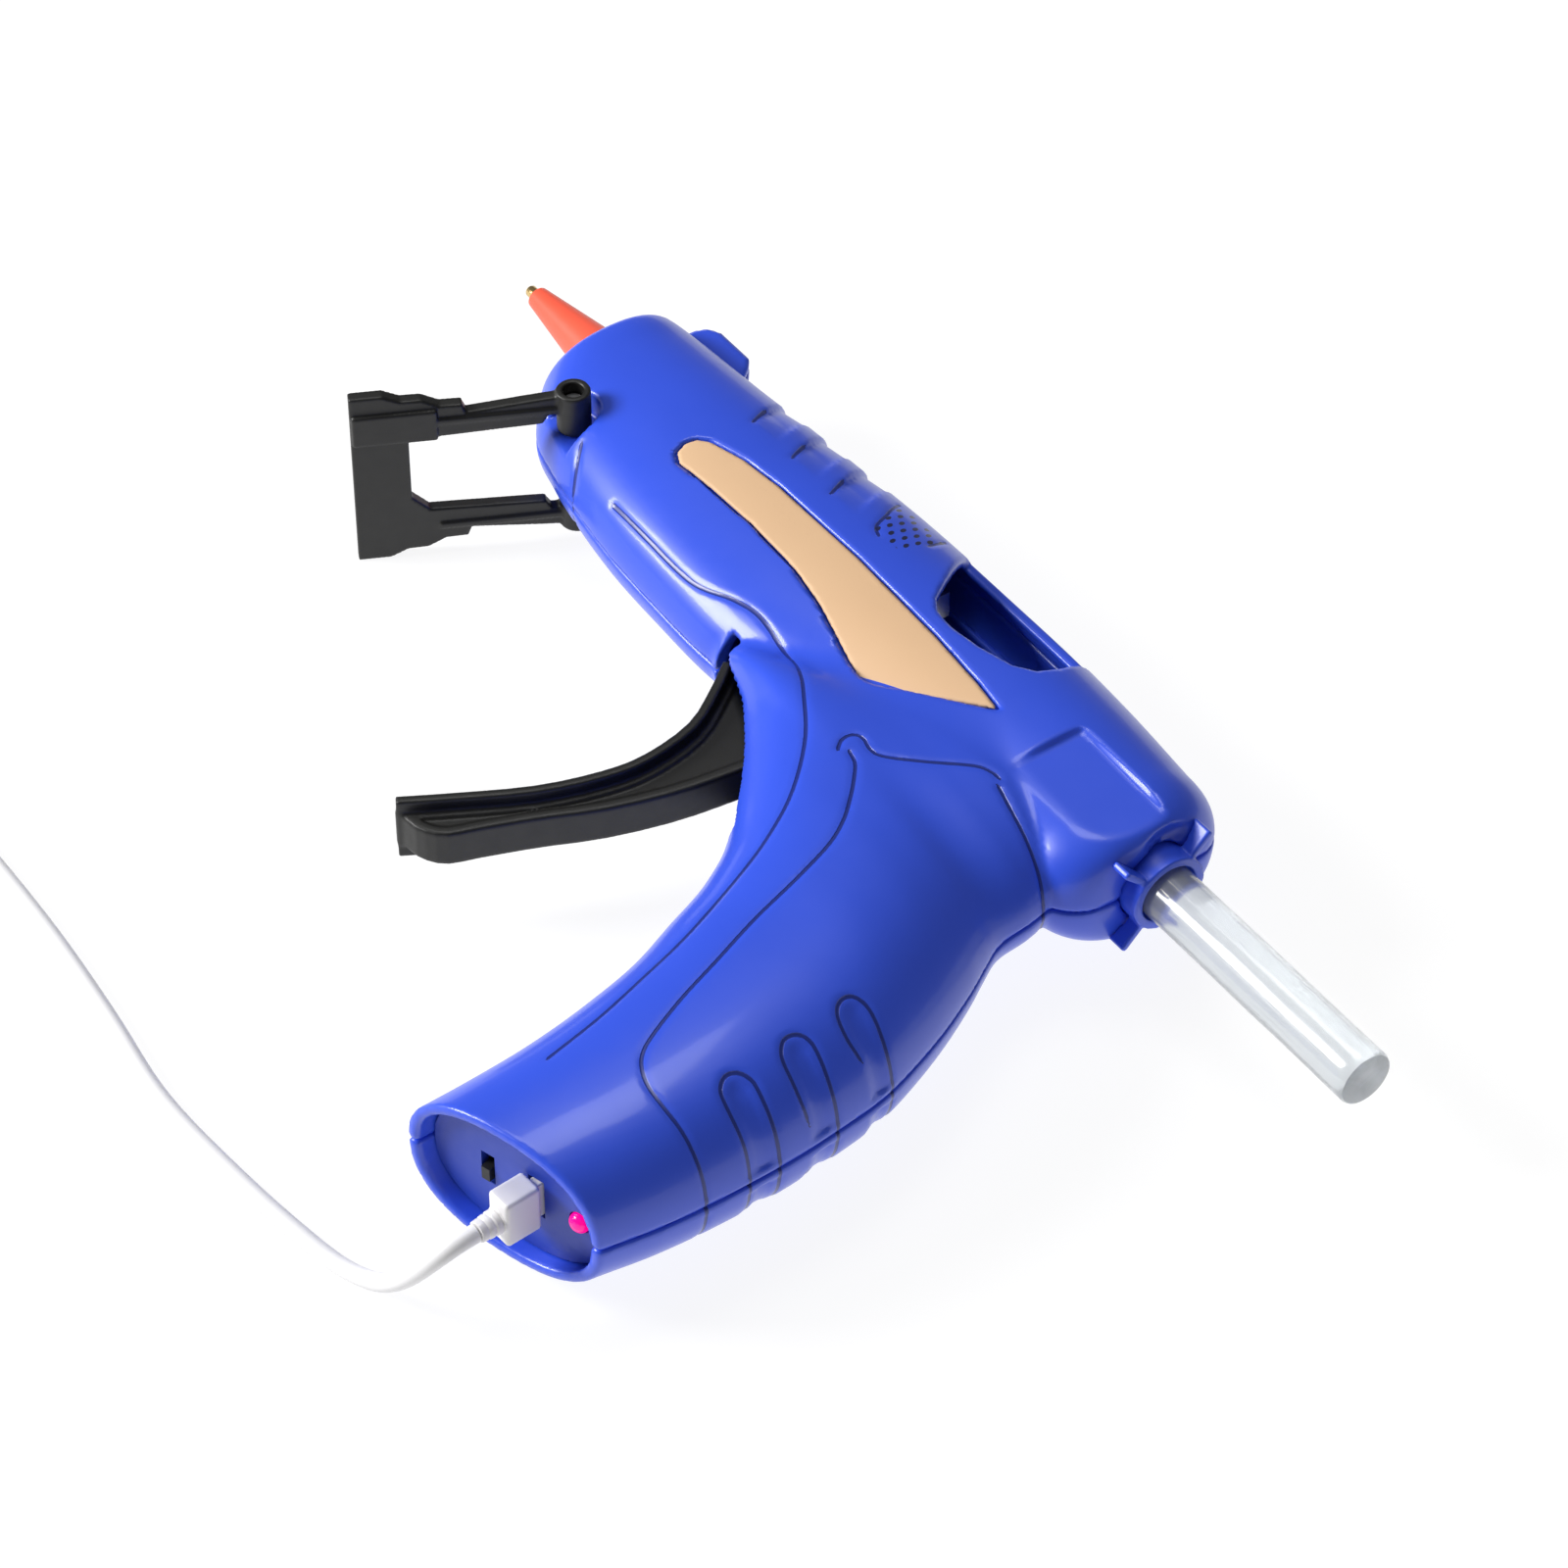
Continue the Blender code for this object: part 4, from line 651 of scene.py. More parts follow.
@dataclass(frozen=True)
class ShellPlastic:
    """The housing's satin blue, with the patch of small vent holes in its left shoulder; its engraved
    lines and vent holes carry painted shade.

    Args:
        name: the material's name.
        vents: whether this half has the vents.
        colour, shade: its colour, and the deeper one it drifts to.
        vent_first: the middle of one hole, seen from the side.
        vent_low, vent_high: opposite corners of the holes' patch.
    """

    name: str
    vents: bool
    colour: Colour = (0.034, 0.098, 0.80)
    shade: Colour = (0.028, 0.084, 0.70)
    vent_first: tuple[float, float] = (109.7, 8.5)
    vent_low: tuple[float, float] = (104.8, 5.2)
    vent_high: tuple[float, float] = (117.6, 15.8)

    def build(self) -> bpy.types.Material:
        """A drifting satin blue with painted shade along its engraved lines and, on one half, rows of
        dark holes painted as shade.

        Returns:
            The material.
        """
        tree = NodeTree(self.name)
        place = tree.place()
        cloud = tree.noise(place, 0.035, 2.0)
        fine = tree.noise(place, 2.6, 2.0)
        smear = tree.noise(place, 0.25, 4.0)
        wave = tree.bump(cloud, 0.10, 0.0006)
        normal = tree.bump(fine, 0.035, 0.0001, wave)
        colour = tree.mix(cloud, self.colour, self.shade)
        away = tree.node("ShaderNodeAttribute", {"attribute_name": "line_closeness"}, output="Fac")
        offset = tree.node("ShaderNodeAttribute", {"attribute_name": "line_offset"}, output="Fac")
        line = tree.node("ShaderNodeMapRange", {"interpolation_type": "SMOOTHSTEP"},
                         {"Value": offset.absolute(), "From Min": 0.22, "From Max": 0.44,
                          "To Min": 1.0, "To Max": 0.0})
        line = line * (away < 0.6)
        # Painted shade: the colour darkens to a deep navy along each engraved groove, standing in for the
        # shade inside it; the bump below dents the groove.
        colour = tree.mix(line * 0.8, colour, (0.003, 0.008, 0.10))
        normal = tree.bump(1.0 - line, 0.6, 0.0004, normal)
        if self.vents:
            hole = self.holes(tree)
            normal = tree.bump(1.0 - hole, 0.9, 0.0008, normal)
            # Painted shade: each vent hole is painted near-black blue for the shade inside it; the bump
            # above sinks it.
            colour = tree.mix(hole, colour, (0.006, 0.010, 0.06))
        return tree.finish(
            base_color=colour, normal=normal,
            roughness=(smear - 0.5) * 0.10 + (fine - 0.5) * 0.05 + 0.36,
            coat_weight=0.25, coat_roughness=0.10, specular_ior_level=0.5)

    def holes(self, tree: NodeTree) -> Socket:
        """A slanted lattice of round spots in a patch.

        Args:
            tree: the material's nodes.

        Returns:
            1 inside a vent hole, and 0 elsewhere.
        """
        x, y, z = tree.split(tree.place())
        x = x - GUN.origin[0] * 1000.0
        y = y - GUN.origin[1] * 1000.0
        z = z - GUN.origin[2] * 1000.0
        right, rise = x - self.vent_first[0], y - self.vent_first[1]
        column, row = right * 0.445 - rise * 0.016, right * 0.210 + rise * 0.356
        off_column, off_row = column.distance_to_whole(), row.distance_to_whole()
        spot = (off_column * off_column + off_row * off_row) < 0.062
        patch = (x > self.vent_low[0]) * (x < self.vent_high[0]) * (x + y * 0.55 > 112.2)
        patch = patch * (y > self.vent_low[1]) * (y < self.vent_high[1])
        return spot * patch * (z > 5.5)


@dataclass(frozen=True)
class Metal:
    """Bright metal with fine tool marks round or along it.

    Args:
        name: the material's name.
        colour: its reflection colour.
        roughness: mean roughness.
        marks: spacing of the tool marks, as noise scale per millimetre.
    """

    name: str
    colour: Colour
    roughness: float = 0.3
    marks: float = 2.0

    def build(self) -> bpy.types.Material:
        """Stretched noise for tool marks, and faint dulling.

        Returns:
            The material.
        """
        tree = NodeTree(self.name)
        place = tree.place()
        stretch = tree.node("ShaderNodeMapping", None,
                            {"Vector": place, "Scale": (self.marks, 0.15, 0.15)})
        marks = tree.noise(stretch, 1.0, 2.0)
        dull = tree.noise(place, 0.4, 3.0)
        darker = tuple(0.8 * value for value in self.colour)
        return tree.finish(
            base_color=tree.mix(dull, self.colour, darker), metallic=1.0,
            roughness=(dull - 0.5) * 0.2 + (marks - 0.5) * 0.15 + self.roughness,
            normal=tree.bump(marks, 0.15, 0.0001))


@dataclass(frozen=True)
class ClearGlue:
    """The hazy, nearly clear glue stick."""

    name: str = "clear_hot_melt"

    def build(self) -> bpy.types.Material:
        """Milky see-through with faint lengthwise flow lines.

        Returns:
            The material.
        """
        tree = NodeTree(self.name)
        place = tree.place()
        haze = tree.noise(place, 0.12, 3.0)
        lines = tree.node("ShaderNodeMapping", None, {"Vector": place, "Scale": (0.03, 1.1, 1.1)})
        flow = tree.noise(lines, 1.0, 3.0)
        return tree.finish(
            base_color=tree.mix(haze, (0.84, 0.875, 0.90), (0.74, 0.78, 0.81)),
            roughness=(flow - 0.5) * 0.12 + 0.20, ior=1.48, transmission_weight=0.80,
            normal=tree.bump(flow, 0.25, 0.0004), coat_weight=0.4, coat_roughness=0.05)


@dataclass(frozen=True)
class GlowingLens:
    """The charge light's lens, lit pink from behind."""

    name: str = "lit_pink_lens"

    def build(self) -> bpy.types.Material:
        """A saturated, softly glowing clear plastic.

        Returns:
            The material.
        """
        tree = NodeTree(self.name)
        swirl = tree.noise(tree.place(), 0.9, 2.0)
        glow = tree.mix(swirl, (1.0, 0.0, 0.16), (1.0, 0.0, 0.28))
        return tree.finish(base_color=glow, roughness=(swirl - 0.5) * 0.1 + 0.18,
                           emission_color=glow, emission_strength=0.75)


class Looks(Enum):
    """Every finish on the gun."""

    LEFT_SHELL = ShellPlastic("satin_blue_with_vents", True)
    SHELL = ShellPlastic("satin_blue", False)
    INNER = MouldedPlastic("deep_blue_plate", (0.022, 0.058, 0.46), (0.018, 0.05, 0.38), 0.42)
    INLAY = MouldedPlastic("tan_soft_inlay", (0.83, 0.55, 0.32), (0.78, 0.50, 0.285), 0.62, 5.0, 0.22)
    BLACK = MouldedPlastic("black_moulding", (0.0075, 0.0075, 0.0068), (0.011, 0.011, 0.010), 0.46,
                           4.0, 0.16)
    SILICONE = MouldedPlastic("orange_red_silicone", (1.0, 0.135, 0.070), (0.94, 0.105, 0.055),
                              0.40, 2.2, 0.05)
    WHITE = MouldedPlastic("white_moulding", (0.86, 0.845, 0.85), (0.80, 0.785, 0.80), 0.34, 3.0, 0.05,
                           0.2)
    CORD = MouldedPlastic("white_cord_jacket", (0.90, 0.895, 0.90), (0.86, 0.855, 0.87), 0.42, 6.0, 0.10)
    CERAMIC = MouldedPlastic("pale_ceramic", (0.80, 0.76, 0.68), (0.70, 0.66, 0.58), 0.7, 4.0, 0.3)
    BOARD = MouldedPlastic("green_circuit_board", (0.02, 0.19, 0.06), (0.015, 0.14, 0.045), 0.45)
    CELL = MouldedPlastic("battery_wrap", (0.06, 0.36, 0.22), (0.05, 0.30, 0.18), 0.3)
    RED_WIRE = MouldedPlastic("red_insulation", (0.55, 0.02, 0.02), (0.45, 0.015, 0.015), 0.4)
    BRASS = Metal("turned_brass", (0.86, 0.62, 0.27), 0.28, 6.0)
    STEEL = Metal("plated_steel", (0.62, 0.62, 0.64), 0.32, 3.0)
    ALUMINIUM = Metal("turned_aluminium", (0.78, 0.79, 0.80), 0.38, 5.0)
    GLUE = ClearGlue()
    LENS = GlowingLens()


class Wardrobe:
    """Builds each finish once and puts it on pieces."""

    def __init__(self) -> None:
        """Start with no material made."""
        self.made: dict[Looks, bpy.types.Material] = {}

    def dress(self, piece: bpy.types.Object, look: Looks) -> bpy.types.Object:
        """Give a piece one finish over its whole surface.

        Args:
            piece: the piece.
            look: its finish.

        Returns:
            The piece.
        """
        if look not in self.made:
            self.made[look] = look.value.build()
        piece.data.materials.clear()
        piece.data.materials.append(self.made[look])
        return piece

    def dress_nodes(self, look: Looks, *names: str) -> None:
        """Give CAD nodes a finish."""
        for name in names:
            self.dress(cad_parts[name], look)
            LOG.info("dressed %s as %s", name, look.value.name)


WARDROBE = Wardrobe()


def place_piece(piece: bpy.types.Object, look: Looks, body: str, slot: str,
                *replaced: str) -> bpy.types.Object:
    """Dress a finished piece, mount it on its body and let it stand for CAD nodes.

    Args:
        piece: the finished piece.
        look: its finish.
        body: the body it rides on.
        slot: the name of its colour slot; not used.
        replaced: the CAD nodes that it stands for.

    Returns:
        The piece.
    """
    WARDROBE.dress(piece, look)
    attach(piece, body)
    if replaced:
        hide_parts(*replaced)
    LOG.info("built %s, %d points", piece.name, len(getattr(piece.data, "vertices", ())))
    return piece


# ------------------------------------------------------------------ housing

@dataclass(frozen=True)
class Housing:
    """The two shells, their inlays and the surface details moulded into them.

    Args:
        front, rear: the barrel's ends.
        nose, rear_face: length of the rounded rear end, and radius of its flat face.
        drop: how far the handle reaches below the barrel's axis.
        parting_gap: the shells' distance from the middle plane.
        butt_middle, butt_tilt: a point on the butt's rim plane, and its slope in degrees.
        hub: the stand's pivot.
        step: spacing of the surface's sample grid.
        barrel_stations: rows of share of length, middle height, half height, half width.
        handle_stations: rows of share of drop, front, back, half width.
        window, inlay, sight, slot, rear_slot: outlines of the openings and raised parts.
        window_top: how far from the middle plane the window's recess starts.
        thin_wall: the least wall behind the flank's facet and scoop.
        screws: the shell screws' places.
        line_width, line_depth: size of an engraved line.
        guard_line, grip_hook, grip_line, neck_line, hub_rib, vent_edge, vent_end,
            finger_grooves: the engraved lines' points.
        groove_depth: how deep a finger groove lies.
        shoulder_cuts: where the stepped cuts on the shoulder start.
        screw_boss: radius of a screw's boss.
        hub_wall: radius of the stand hub's wall.
    """

    front: float = 29.0
    rear: float = 202.5
    nose: float = 12.5
    rear_face: float = 9.4
    drop: float = 137.3
    parting_gap: float = 0.15
    butt_middle: tuple[float, float] = (195.9, -137.3)
    butt_tilt: float = 16.5
    hub: tuple[float, float] = (46.4, -20.5)
    step: float = 0.72
    line_width: float = 0.55
    line_depth: float = 0.26
    groove_depth: float = 0.7
    screw_boss: float = 4.0
    hub_wall: float = 7.0
    barrel_stations: tuple = (
        (0.000, -1.0, 15.7, 12.0), (0.020, -2.2, 17.5, 12.7), (0.055, -4.2, 20.2, 13.3),
        (0.110, -5.4, 22.0, 14.0), (0.180, -6.2, 23.6, 14.6), (0.260, -6.5, 25.2, 15.0),
        (0.350, -6.4, 26.2, 15.0), (0.450, -6.0, 26.9, 15.0), (0.590, -4.0, 25.2, 15.0),
        (0.710, -2.6, 23.7, 15.0), (0.830, -2.0, 22.0, 15.0), (0.930, -1.5, 19.9, 14.6))
    handle_stations: tuple = (
        (0.03, 141.0, 187.0, 12.0), (0.10, 132.0, 195.0, 14.6), (0.175, 122.0, 198.0, 15.8),
        (0.245, 113.0, 199.6, 16.7), (0.280, 124.5, 202.3, 17.1), (0.310, 131.4, 204.8, 17.4),
        (0.345, 138.2, 207.4, 17.8), (0.390, 145.6, 210.4, 18.1), (0.440, 153.2, 213.2, 18.4),
        (0.510, 159.8, 216.4, 18.5), (0.600, 165.2, 218.2, 18.5), (0.670, 169.2, 219.0, 18.3),
        (0.760, 172.3, 219.2, 17.8), (0.870, 174.6, 218.4, 17.0), (0.960, 175.3, 216.6, 16.3),
        (1.070, 175.5, 215.6, 15.8))
    window: Outline = (
        (119.0, 24.0), (120.0, 19.0), (127.0, 9.5), (131.7, 3.0), (135.0, 0.9), (140.0, 0.4),
        (147.0, 1.4), (154.6, 3.6), (158.0, 6.6), (158.8, 11.0), (157.5, 18.0), (157.0, 24.0))
    window_top: float = 4.6
    thin_wall: float = 1.2
    inlay: Outline = (
        (70.0, -8.2), (72.0, -6.4), (80.0, -4.2), (90.0, -3.1), (115.0, -2.7), (140.0, -3.6),
        (155.0, -4.8), (162.0, -5.8), (150.0, -14.6), (143.0, -19.4), (140.5, -20.0),
        (137.5, -19.6), (120.0, -15.2), (110.0, -13.6), (95.0, -13.0), (80.0, -13.6),
        (73.0, -14.2), (70.6, -13.0), (69.6, -10.6))
    sight: Outline = (
        (31.2, 12.0), (31.4, 18.4), (32.4, 20.9), (35.0, 22.2), (44.6, 22.2), (46.6, 20.6),
        (49.4, 17.0), (49.4, 12.0))
    slot: Outline = ((112.0, -20.0), (112.0, -42.0), (153.0, -62.0), (153.0, -48.0), (143.0, -20.0))
    rear_slot: Outline = ((137.0, -30.0), (137.0, -60.0), (159.0, -60.0), (159.0, -30.0))
    screws: Outline = ((59.0, -21.2), (97.0, -22.5), (178.0, 11.6), (166.0, -31.0),
                       (205.5, -62.0), (180.5, -112.0))
    guard_line: Outline = (
        (70.3, -27.8), (81.8, -28.2), (94.6, -28.5), (100.8, -27.8), (108.1, -25.6),
        (115.4, -24.7), (126.7, -26.6), (134.0, -29.6), (140.0, -33.2), (149.5, -39.8),
        (159.5, -50.1), (166.0, -60.6), (171.5, -72.8), (176.4, -84.3), (179.9, -95.9),
        (183.5, -107.4), (186.4, -120.7))
    grip_hook: Outline = (
        (155.3, -36.7), (153.8, -34.8), (153.5, -32.8), (154.2, -31.5), (155.8, -31.2),
        (158.6, -31.8), (161.3, -30.8), (166.3, -25.1), (171.6, -18.0), (174.3, -16.2),
        (176.0, -15.9))
    grip_line: Outline = (
        (157.1, -35.4), (160.0, -36.3), (163.2, -38.8), (166.9, -42.3), (171.2, -47.0),
        (174.8, -52.8), (178.3, -62.0), (182.0, -73.8), (186.4, -85.2), (190.0, -95.0),
        (194.0, -103.9), (196.5, -107.9), (199.5, -110.1), (203.2, -111.2), (207.4, -111.2),
        (211.8, -110.7), (215.2, -110.6), (221.0, -110.5))
    neck_line: Outline = (
        (177.7, -17.2), (182.8, -18.3), (188.9, -19.4), (194.4, -20.7), (197.4, -21.7), (200.0, -22.8))
    hub_rib: Outline = ((53.5, -23.5), (58.5, -29.0))
    vent_edge: Outline = (
        (103.4, 15.2), (105.0, 12.4), (106.8, 9.7), (108.3, 6.9), (109.6, 5.4), (111.4, 4.7))
    vent_end: Outline = ((116.4, 16.4), (117.2, 14.0), (117.7, 12.0))
    finger_grooves: tuple = (
        ((213.8, -74.5), (210.9, -75.1), (207.3, -74.5), (205.3, -72.8), (204.9, -70.4),
         (206.4, -68.7), (208.9, -68.2), (212.4, -68.6), (215.6, -68.9), (222.0, -68.9)),
        ((217.3, -88.2), (214.9, -88.4), (210.3, -88.1), (208.0, -87.0), (206.8, -85.2),
         (207.2, -82.8), (209.0, -81.5), (211.9, -81.5), (216.0, -82.0), (222.0, -82.2)),
        ((218.9, -101.5), (217.2, -101.4), (213.4, -101.5), (210.1, -101.1), (208.5, -99.9),
         (207.8, -98.2), (208.5, -96.2), (210.4, -94.9), (212.9, -94.8), (222.0, -95.3)))
    shoulder_cuts: tuple = (70.8, 83.7, 96.3)

    def barrel_field(self, x: Array, y: Array, z: Array) -> Array:
        """The barrel: superellipse sections whose sizes follow the stations.

        Over the nose both half-sizes fall towards the rear face's radius as
        (1 - depth^n)^(1/n).

        Args:
            x, y, z: the places to measure at, in gun millimetres.

        Returns:
            The field there, negative inside.
        """
        share = (x - self.front) / (self.rear - self.front)
        rows = smooth_table(self.barrel_stations, share)
        depth = np.clip((x - self.rear + self.nose) / self.nose, 0.0, 0.9999)
        full = (1.0 - depth**SECTION_POWER) ** (1.0 / SECTION_POWER)
        centre = rows[..., 0] * full
        height = self.rear_face + (rows[..., 1] - self.rear_face) * full
        width = self.rear_face + (rows[..., 2] - self.rear_face) * full
        round_part = oval_distance(y - centre, height, z, width)
        return shared(shared(round_part, self.front - x, 2.2), x - self.rear, 0.9)

    def handle_field(self, x: Array, y: Array, z: Array) -> Array:
        """The handle: level superellipse slices whose ends follow the stations.

        Args:
            x, y, z: the places to measure at, in gun millimetres.

        Returns:
            The field there, negative inside.
        """
        rows = smooth_table(self.handle_stations, -y / self.drop)
        middle = (rows[..., 0] + rows[..., 1]) / 2.0
        half = (rows[..., 1] - rows[..., 0]) / 2.0
        return shared(oval_distance(x - middle, half, z, rows[..., 2]), y + 4.5, 1.0)

    def body_field(self, x: Array, y: Array, z: Array) -> Array:
        """Barrel and handle, joined softly in front and by a crease at the rear."""
        softness = np.clip(4.0 - (x - 150.0) * 0.12, 0.8, 4.0)
        return blend(self.barrel_field(x, y, z), self.handle_field(x, y, z), softness)

    def butt(self, x: Array, y: Array) -> Array:
        """Distance beyond the butt's rim plane."""
        tilt = math.radians(self.butt_tilt)
        return (x - self.butt_middle[0]) * math.sin(tilt) - (y - self.butt_middle[1]) * math.cos(tilt)

    def engraved(self) -> list[Array]:
        """Every fine line cut in the skin.

        Returns:
            Smooth curves, seen from the side.
        """
        cuts = [((start + 0.4, 4.4), (start - 2.2, 8.8)) for start in self.shoulder_cuts]
        groups = [(self.guard_line, 80), (self.grip_hook, 40), (self.grip_line, 80),
                  (self.neck_line, 16), (self.hub_rib, 4), (self.vent_edge, 16), (self.vent_end, 6)]
        groups += [(groove, 40) for groove in self.finger_grooves]
        groups += [(cut, 4) for cut in cuts]
        return [smooth_line(points, count) for points, count in groups]

    def line_marks(self, points: Array) -> dict[str, Array]:
        """Where the engraved lines run, for the finish to darken them with painted shade.

        Args:
            points: the mesh's points, in gun millimetres.

        Returns:
            For each point the signed distance to the nearest line, at most LINE_REACH,
            and its square, which has no jumps.
        """
        x, y = points[:, 0], points[:, 1]
        offset = np.full(len(points), LINE_REACH)
        for line in self.engraved():
            low, high = line.min(axis=0) - LINE_REACH, line.max(axis=0) + LINE_REACH
            near = np.flatnonzero((x > low[0]) & (x < high[0]) & (y > low[1]) & (y < high[1]))
            found = line_offset(x[near], y[near], line)
            offset[near] = np.where(np.abs(found) < np.abs(offset[near]), found, offset[near])
        return {"line_offset": offset, "line_closeness": offset**2}

    def moulded_lines(self, x: Array, y: Array) -> Array:
        """How deep the moulded lines lie, as seen from the side.

        Args:
            x, y: the places to measure at.

        Returns:
            The depth there, in millimetres.
        """
        depth = np.zeros(np.broadcast(x, y).shape)
        for line in self.engraved():
            away = line_distance(x, y, line) / self.line_width
            depth = np.maximum(depth, self.line_depth * np.exp(-away**2))
        for groove in self.finger_grooves:
            closed = [(222.0, groove[0][1] - 0.4), *groove]
            inside = -outline_distance(x, y, closed)
            depth = depth + self.groove_depth * np.clip(inside / 2.2, 0.0, 1.0)
        for start in self.shoulder_cuts:
            behind = x - start + 0.57 * (y - 5.0)
            wall = np.clip(behind / 0.7, 0.0, 1.0) * (1.0 - 0.6 * np.clip(behind / 7.5, 0.0, 1.0))
            wall = wall * np.clip((8.2 - behind) / 0.7, 0.0, 1.0)
            depth = depth + 0.9 * wall * np.clip((y - 4.6) / 5.0, 0.0, 1.0)
        return depth

    def shell(self, side: int) -> Field:
        """The field of one shell.

        Args:
            side: 1 for the left shell, -1 for the right.

        Returns:
            The field.
        """

        def solid(x: Array, y: Array, z: Array) -> Array:
            """Outer form, less the lines, cavity, openings and the other half.

            Args:
                x, y, z: the places to measure at, in gun millimetres.

            Returns:
                The field there, negative inside.
            """
            wide = z * side
            body = self.body_field(x, y, z)
            outer = body + self.moulded_lines(x, y) * (wide > 2.0)
            sight = shared(outline_distance(x, y, self.sight), np.abs(z) - 2.2, 0.6)
            outer = blend(outer, sight, 0.8)
            tilted = wide + 0.05 * (x - 175.0)
            facet = block(x, y, tilted, (174.6, -12.8, 13.95), (206.0, 4.2, 30.0), 0.9)
            outer = less(outer, facet, 0.5)
            scoop = np.sqrt(((x - 206.4) / 5.6) ** 2 + ((y - 2.6) / 8.2) ** 2 + ((wide - 9.8) / 4.4) ** 2)
            scoop = (scoop - 1.0) * 4.6
            outer = less(outer, scoop, 0.6)
            inlay = shared(outline_distance(x, y, self.inlay) - 0.5, -1.25 - body, 0.3)
            outer = less(outer, shared(inlay, 3.0 - wide, 0.1), 0.35)
            cavity = np.maximum(body + WALL, self.thin_wall - np.minimum(facet, scoop))
            for cx, cy in self.screws:
                cavity = np.maximum(cavity, self.screw_boss - np.hypot(x - cx, y - cy))
            hub_far = np.hypot(x - self.hub[0], y - self.hub[1])
            cavity = np.maximum(cavity, np.minimum(self.hub_wall - hub_far, wide - 4.6))
            outer = shared(outer, -cavity, 0.25)
            outer = less(outer, np.maximum(outline_distance(x, y, self.slot), wide - 7.7), 0.5)
            outer = less(outer, np.maximum(outline_distance(x, y, self.rear_slot), wide - 5.2), 0.4)
            pocket = np.minimum(hub_far - 5.2, np.maximum(np.abs(x - self.hub[0]) - 5.2,
                                                          y - self.hub[1]))
            outer = less(outer, np.maximum(pocket, 7.1 - wide), 0.5)
            outer = less(outer, hub_far - 2.1, 0.2)
            axis_far = np.hypot(y, z)
            outer = less(outer, np.maximum(axis_far - 6.5, x - self.front - 9.0), 0.5)
            outer = less(outer, np.maximum(axis_far - 8.1, 194.0 - x), 0.4)
            outer = shared(outer, self.butt(x, y), 0.8)
            if side > 0:
                window = np.maximum(outline_distance(x, y, self.window), self.window_top - wide)
                outer = less(outer, window, 0.6)
            else:
                slot = block(x, y, wide, (127.0, 14.6, 3.0), (133.0, 16.6, 12.0), 0.4)
                outer = less(outer, slot, 0.3)
                for cx, cy in self.screws:
                    far = np.hypot(x - cx, y - cy)
                    outer = less(outer, np.maximum(far - 2.8, 6.5 - wide), 0.3)
                ribs = np.abs((y - 2.0 + 400.0) % 4.0 - 2.0) - 0.55
                rib = np.maximum(np.maximum(ribs, body + WALL - 0.6), -(body + WALL + 1.2))
                near = np.maximum(np.abs(x - 139.0) - 21.0, np.abs(y - 9.0) - 9.0)
                outer = np.minimum(outer, np.maximum(rib, near))
            return shared(outer, self.parting_gap - wide, 0.9)

        return solid

    def inlay_field(self, side: int) -> Field:
        """The field of one inlay: a skin between two offsets of the body.

        Args:
            side: 1 for the left inlay, -1 for the right.

        Returns:
            The field.
        """

        def solid(x: Array, y: Array, z: Array) -> Array:
            """Body offsets, trimmed by the inlay's outline.

            Args:
                x, y, z: the places to measure at, in gun millimetres.

            Returns:
                The field there, negative inside.
            """
            wide = z * side
            body = self.barrel_field(x, y, z)
            skin = shared(body + 0.06, -(body + 0.88), 0.25)
            return shared(shared(skin, outline_distance(x, y, self.inlay), 0.35), 6.0 - wide, 0.3)

        return solid

    def build(self) -> None:
        """Build both shells and both inlays, and dress the butt plate."""
        step = self.step * 1.0
        for side, word, look in ((1, "left", Looks.LEFT_SHELL), (-1, "right", Looks.SHELL)):
            edge = sorted((-side * 0.6, side * 20.0))
            low, high = (27.6, -145.4, edge[0]), (221.4, 23.6, edge[1])
            points, faces = sample_surface(self.shell(side), low, high, step)
            piece = mesh_piece(f"{word}_shell_skin", points, faces, self.line_marks(points))
            place_piece(piece, look, "housing", "blue_shell", f"{word}_shell")
            low, high = sorted((side * 6.0, side * 16.2))
            points, faces = sample_surface(self.inlay_field(side), (68.0, -22.0, low),
                                           (164.0, -1.0, high), 0.5)
            piece = mesh_piece(f"{word}_inlay_skin", points, faces)
            place_piece(piece, Looks.INLAY, "housing", "tan_inlay", f"inlay_{word}")
        WARDROBE.dress_nodes(Looks.INNER, "butt_plate")


@dataclass(frozen=True)
class Inlet:
    """The rear collar with its four thin fins.

    Args:
        bore, outer: the ring's radii.
        start, end: its ends along the barrel's axis.
        reach: how far the fins reach from the axis.
    """

    bore: float = 6.1
    outer: float = 7.8
    start: float = 195.5
    end: float = 206.5
    reach: float = 13.6

    def solid(self, x: Array, y: Array, z: Array) -> Array:
        """A ring joined to four slanted fins that lie just off the nose.

        Args:
            x, y, z: the places to measure at, in gun millimetres.

        Returns:
            The field there, negative inside.
        """
        far = np.hypot(y, z)
        ring = np.maximum(np.abs(x - (self.start + self.end) / 2.0) - (self.end - self.start) / 2.0,
                          far - self.outer)
        flange = np.maximum(np.abs(x - self.start - 1.0) - 1.0, far - self.outer - 1.6)
        along = (np.abs(y) + np.abs(z)) / math.sqrt(2.0)
        across = np.abs(np.abs(y) - np.abs(z)) / math.sqrt(2.0)
        fin = shared(shared(across - 0.7, along - self.reach, 0.5), x - self.end + 0.6, 0.4)
        house = HOUSING.body_field(x, y, z)
        fin = np.maximum(np.maximum(fin, 0.32 - house), 7.0 - along)
        whole = blend(np.minimum(ring, flange), np.maximum(fin, 200.0 - x), 0.5)
        return less(whole, far - self.bore, 0.3)

    def build(self) -> None:
        """Build the collar."""
        points, faces = sample_surface(self.solid, (195.0, -14.6, -14.6), (207.2, 14.6, 14.6), 0.33)
        marks = {"line_closeness": np.full(len(points), LINE_REACH**2)}
        piece = mesh_piece("inlet_collar_skin", points, faces, marks)
        place_piece(piece, Looks.SHELL, "housing", "blue_shell", "inlet_collar")


# ------------------------------------------------------------------ hot end and stick

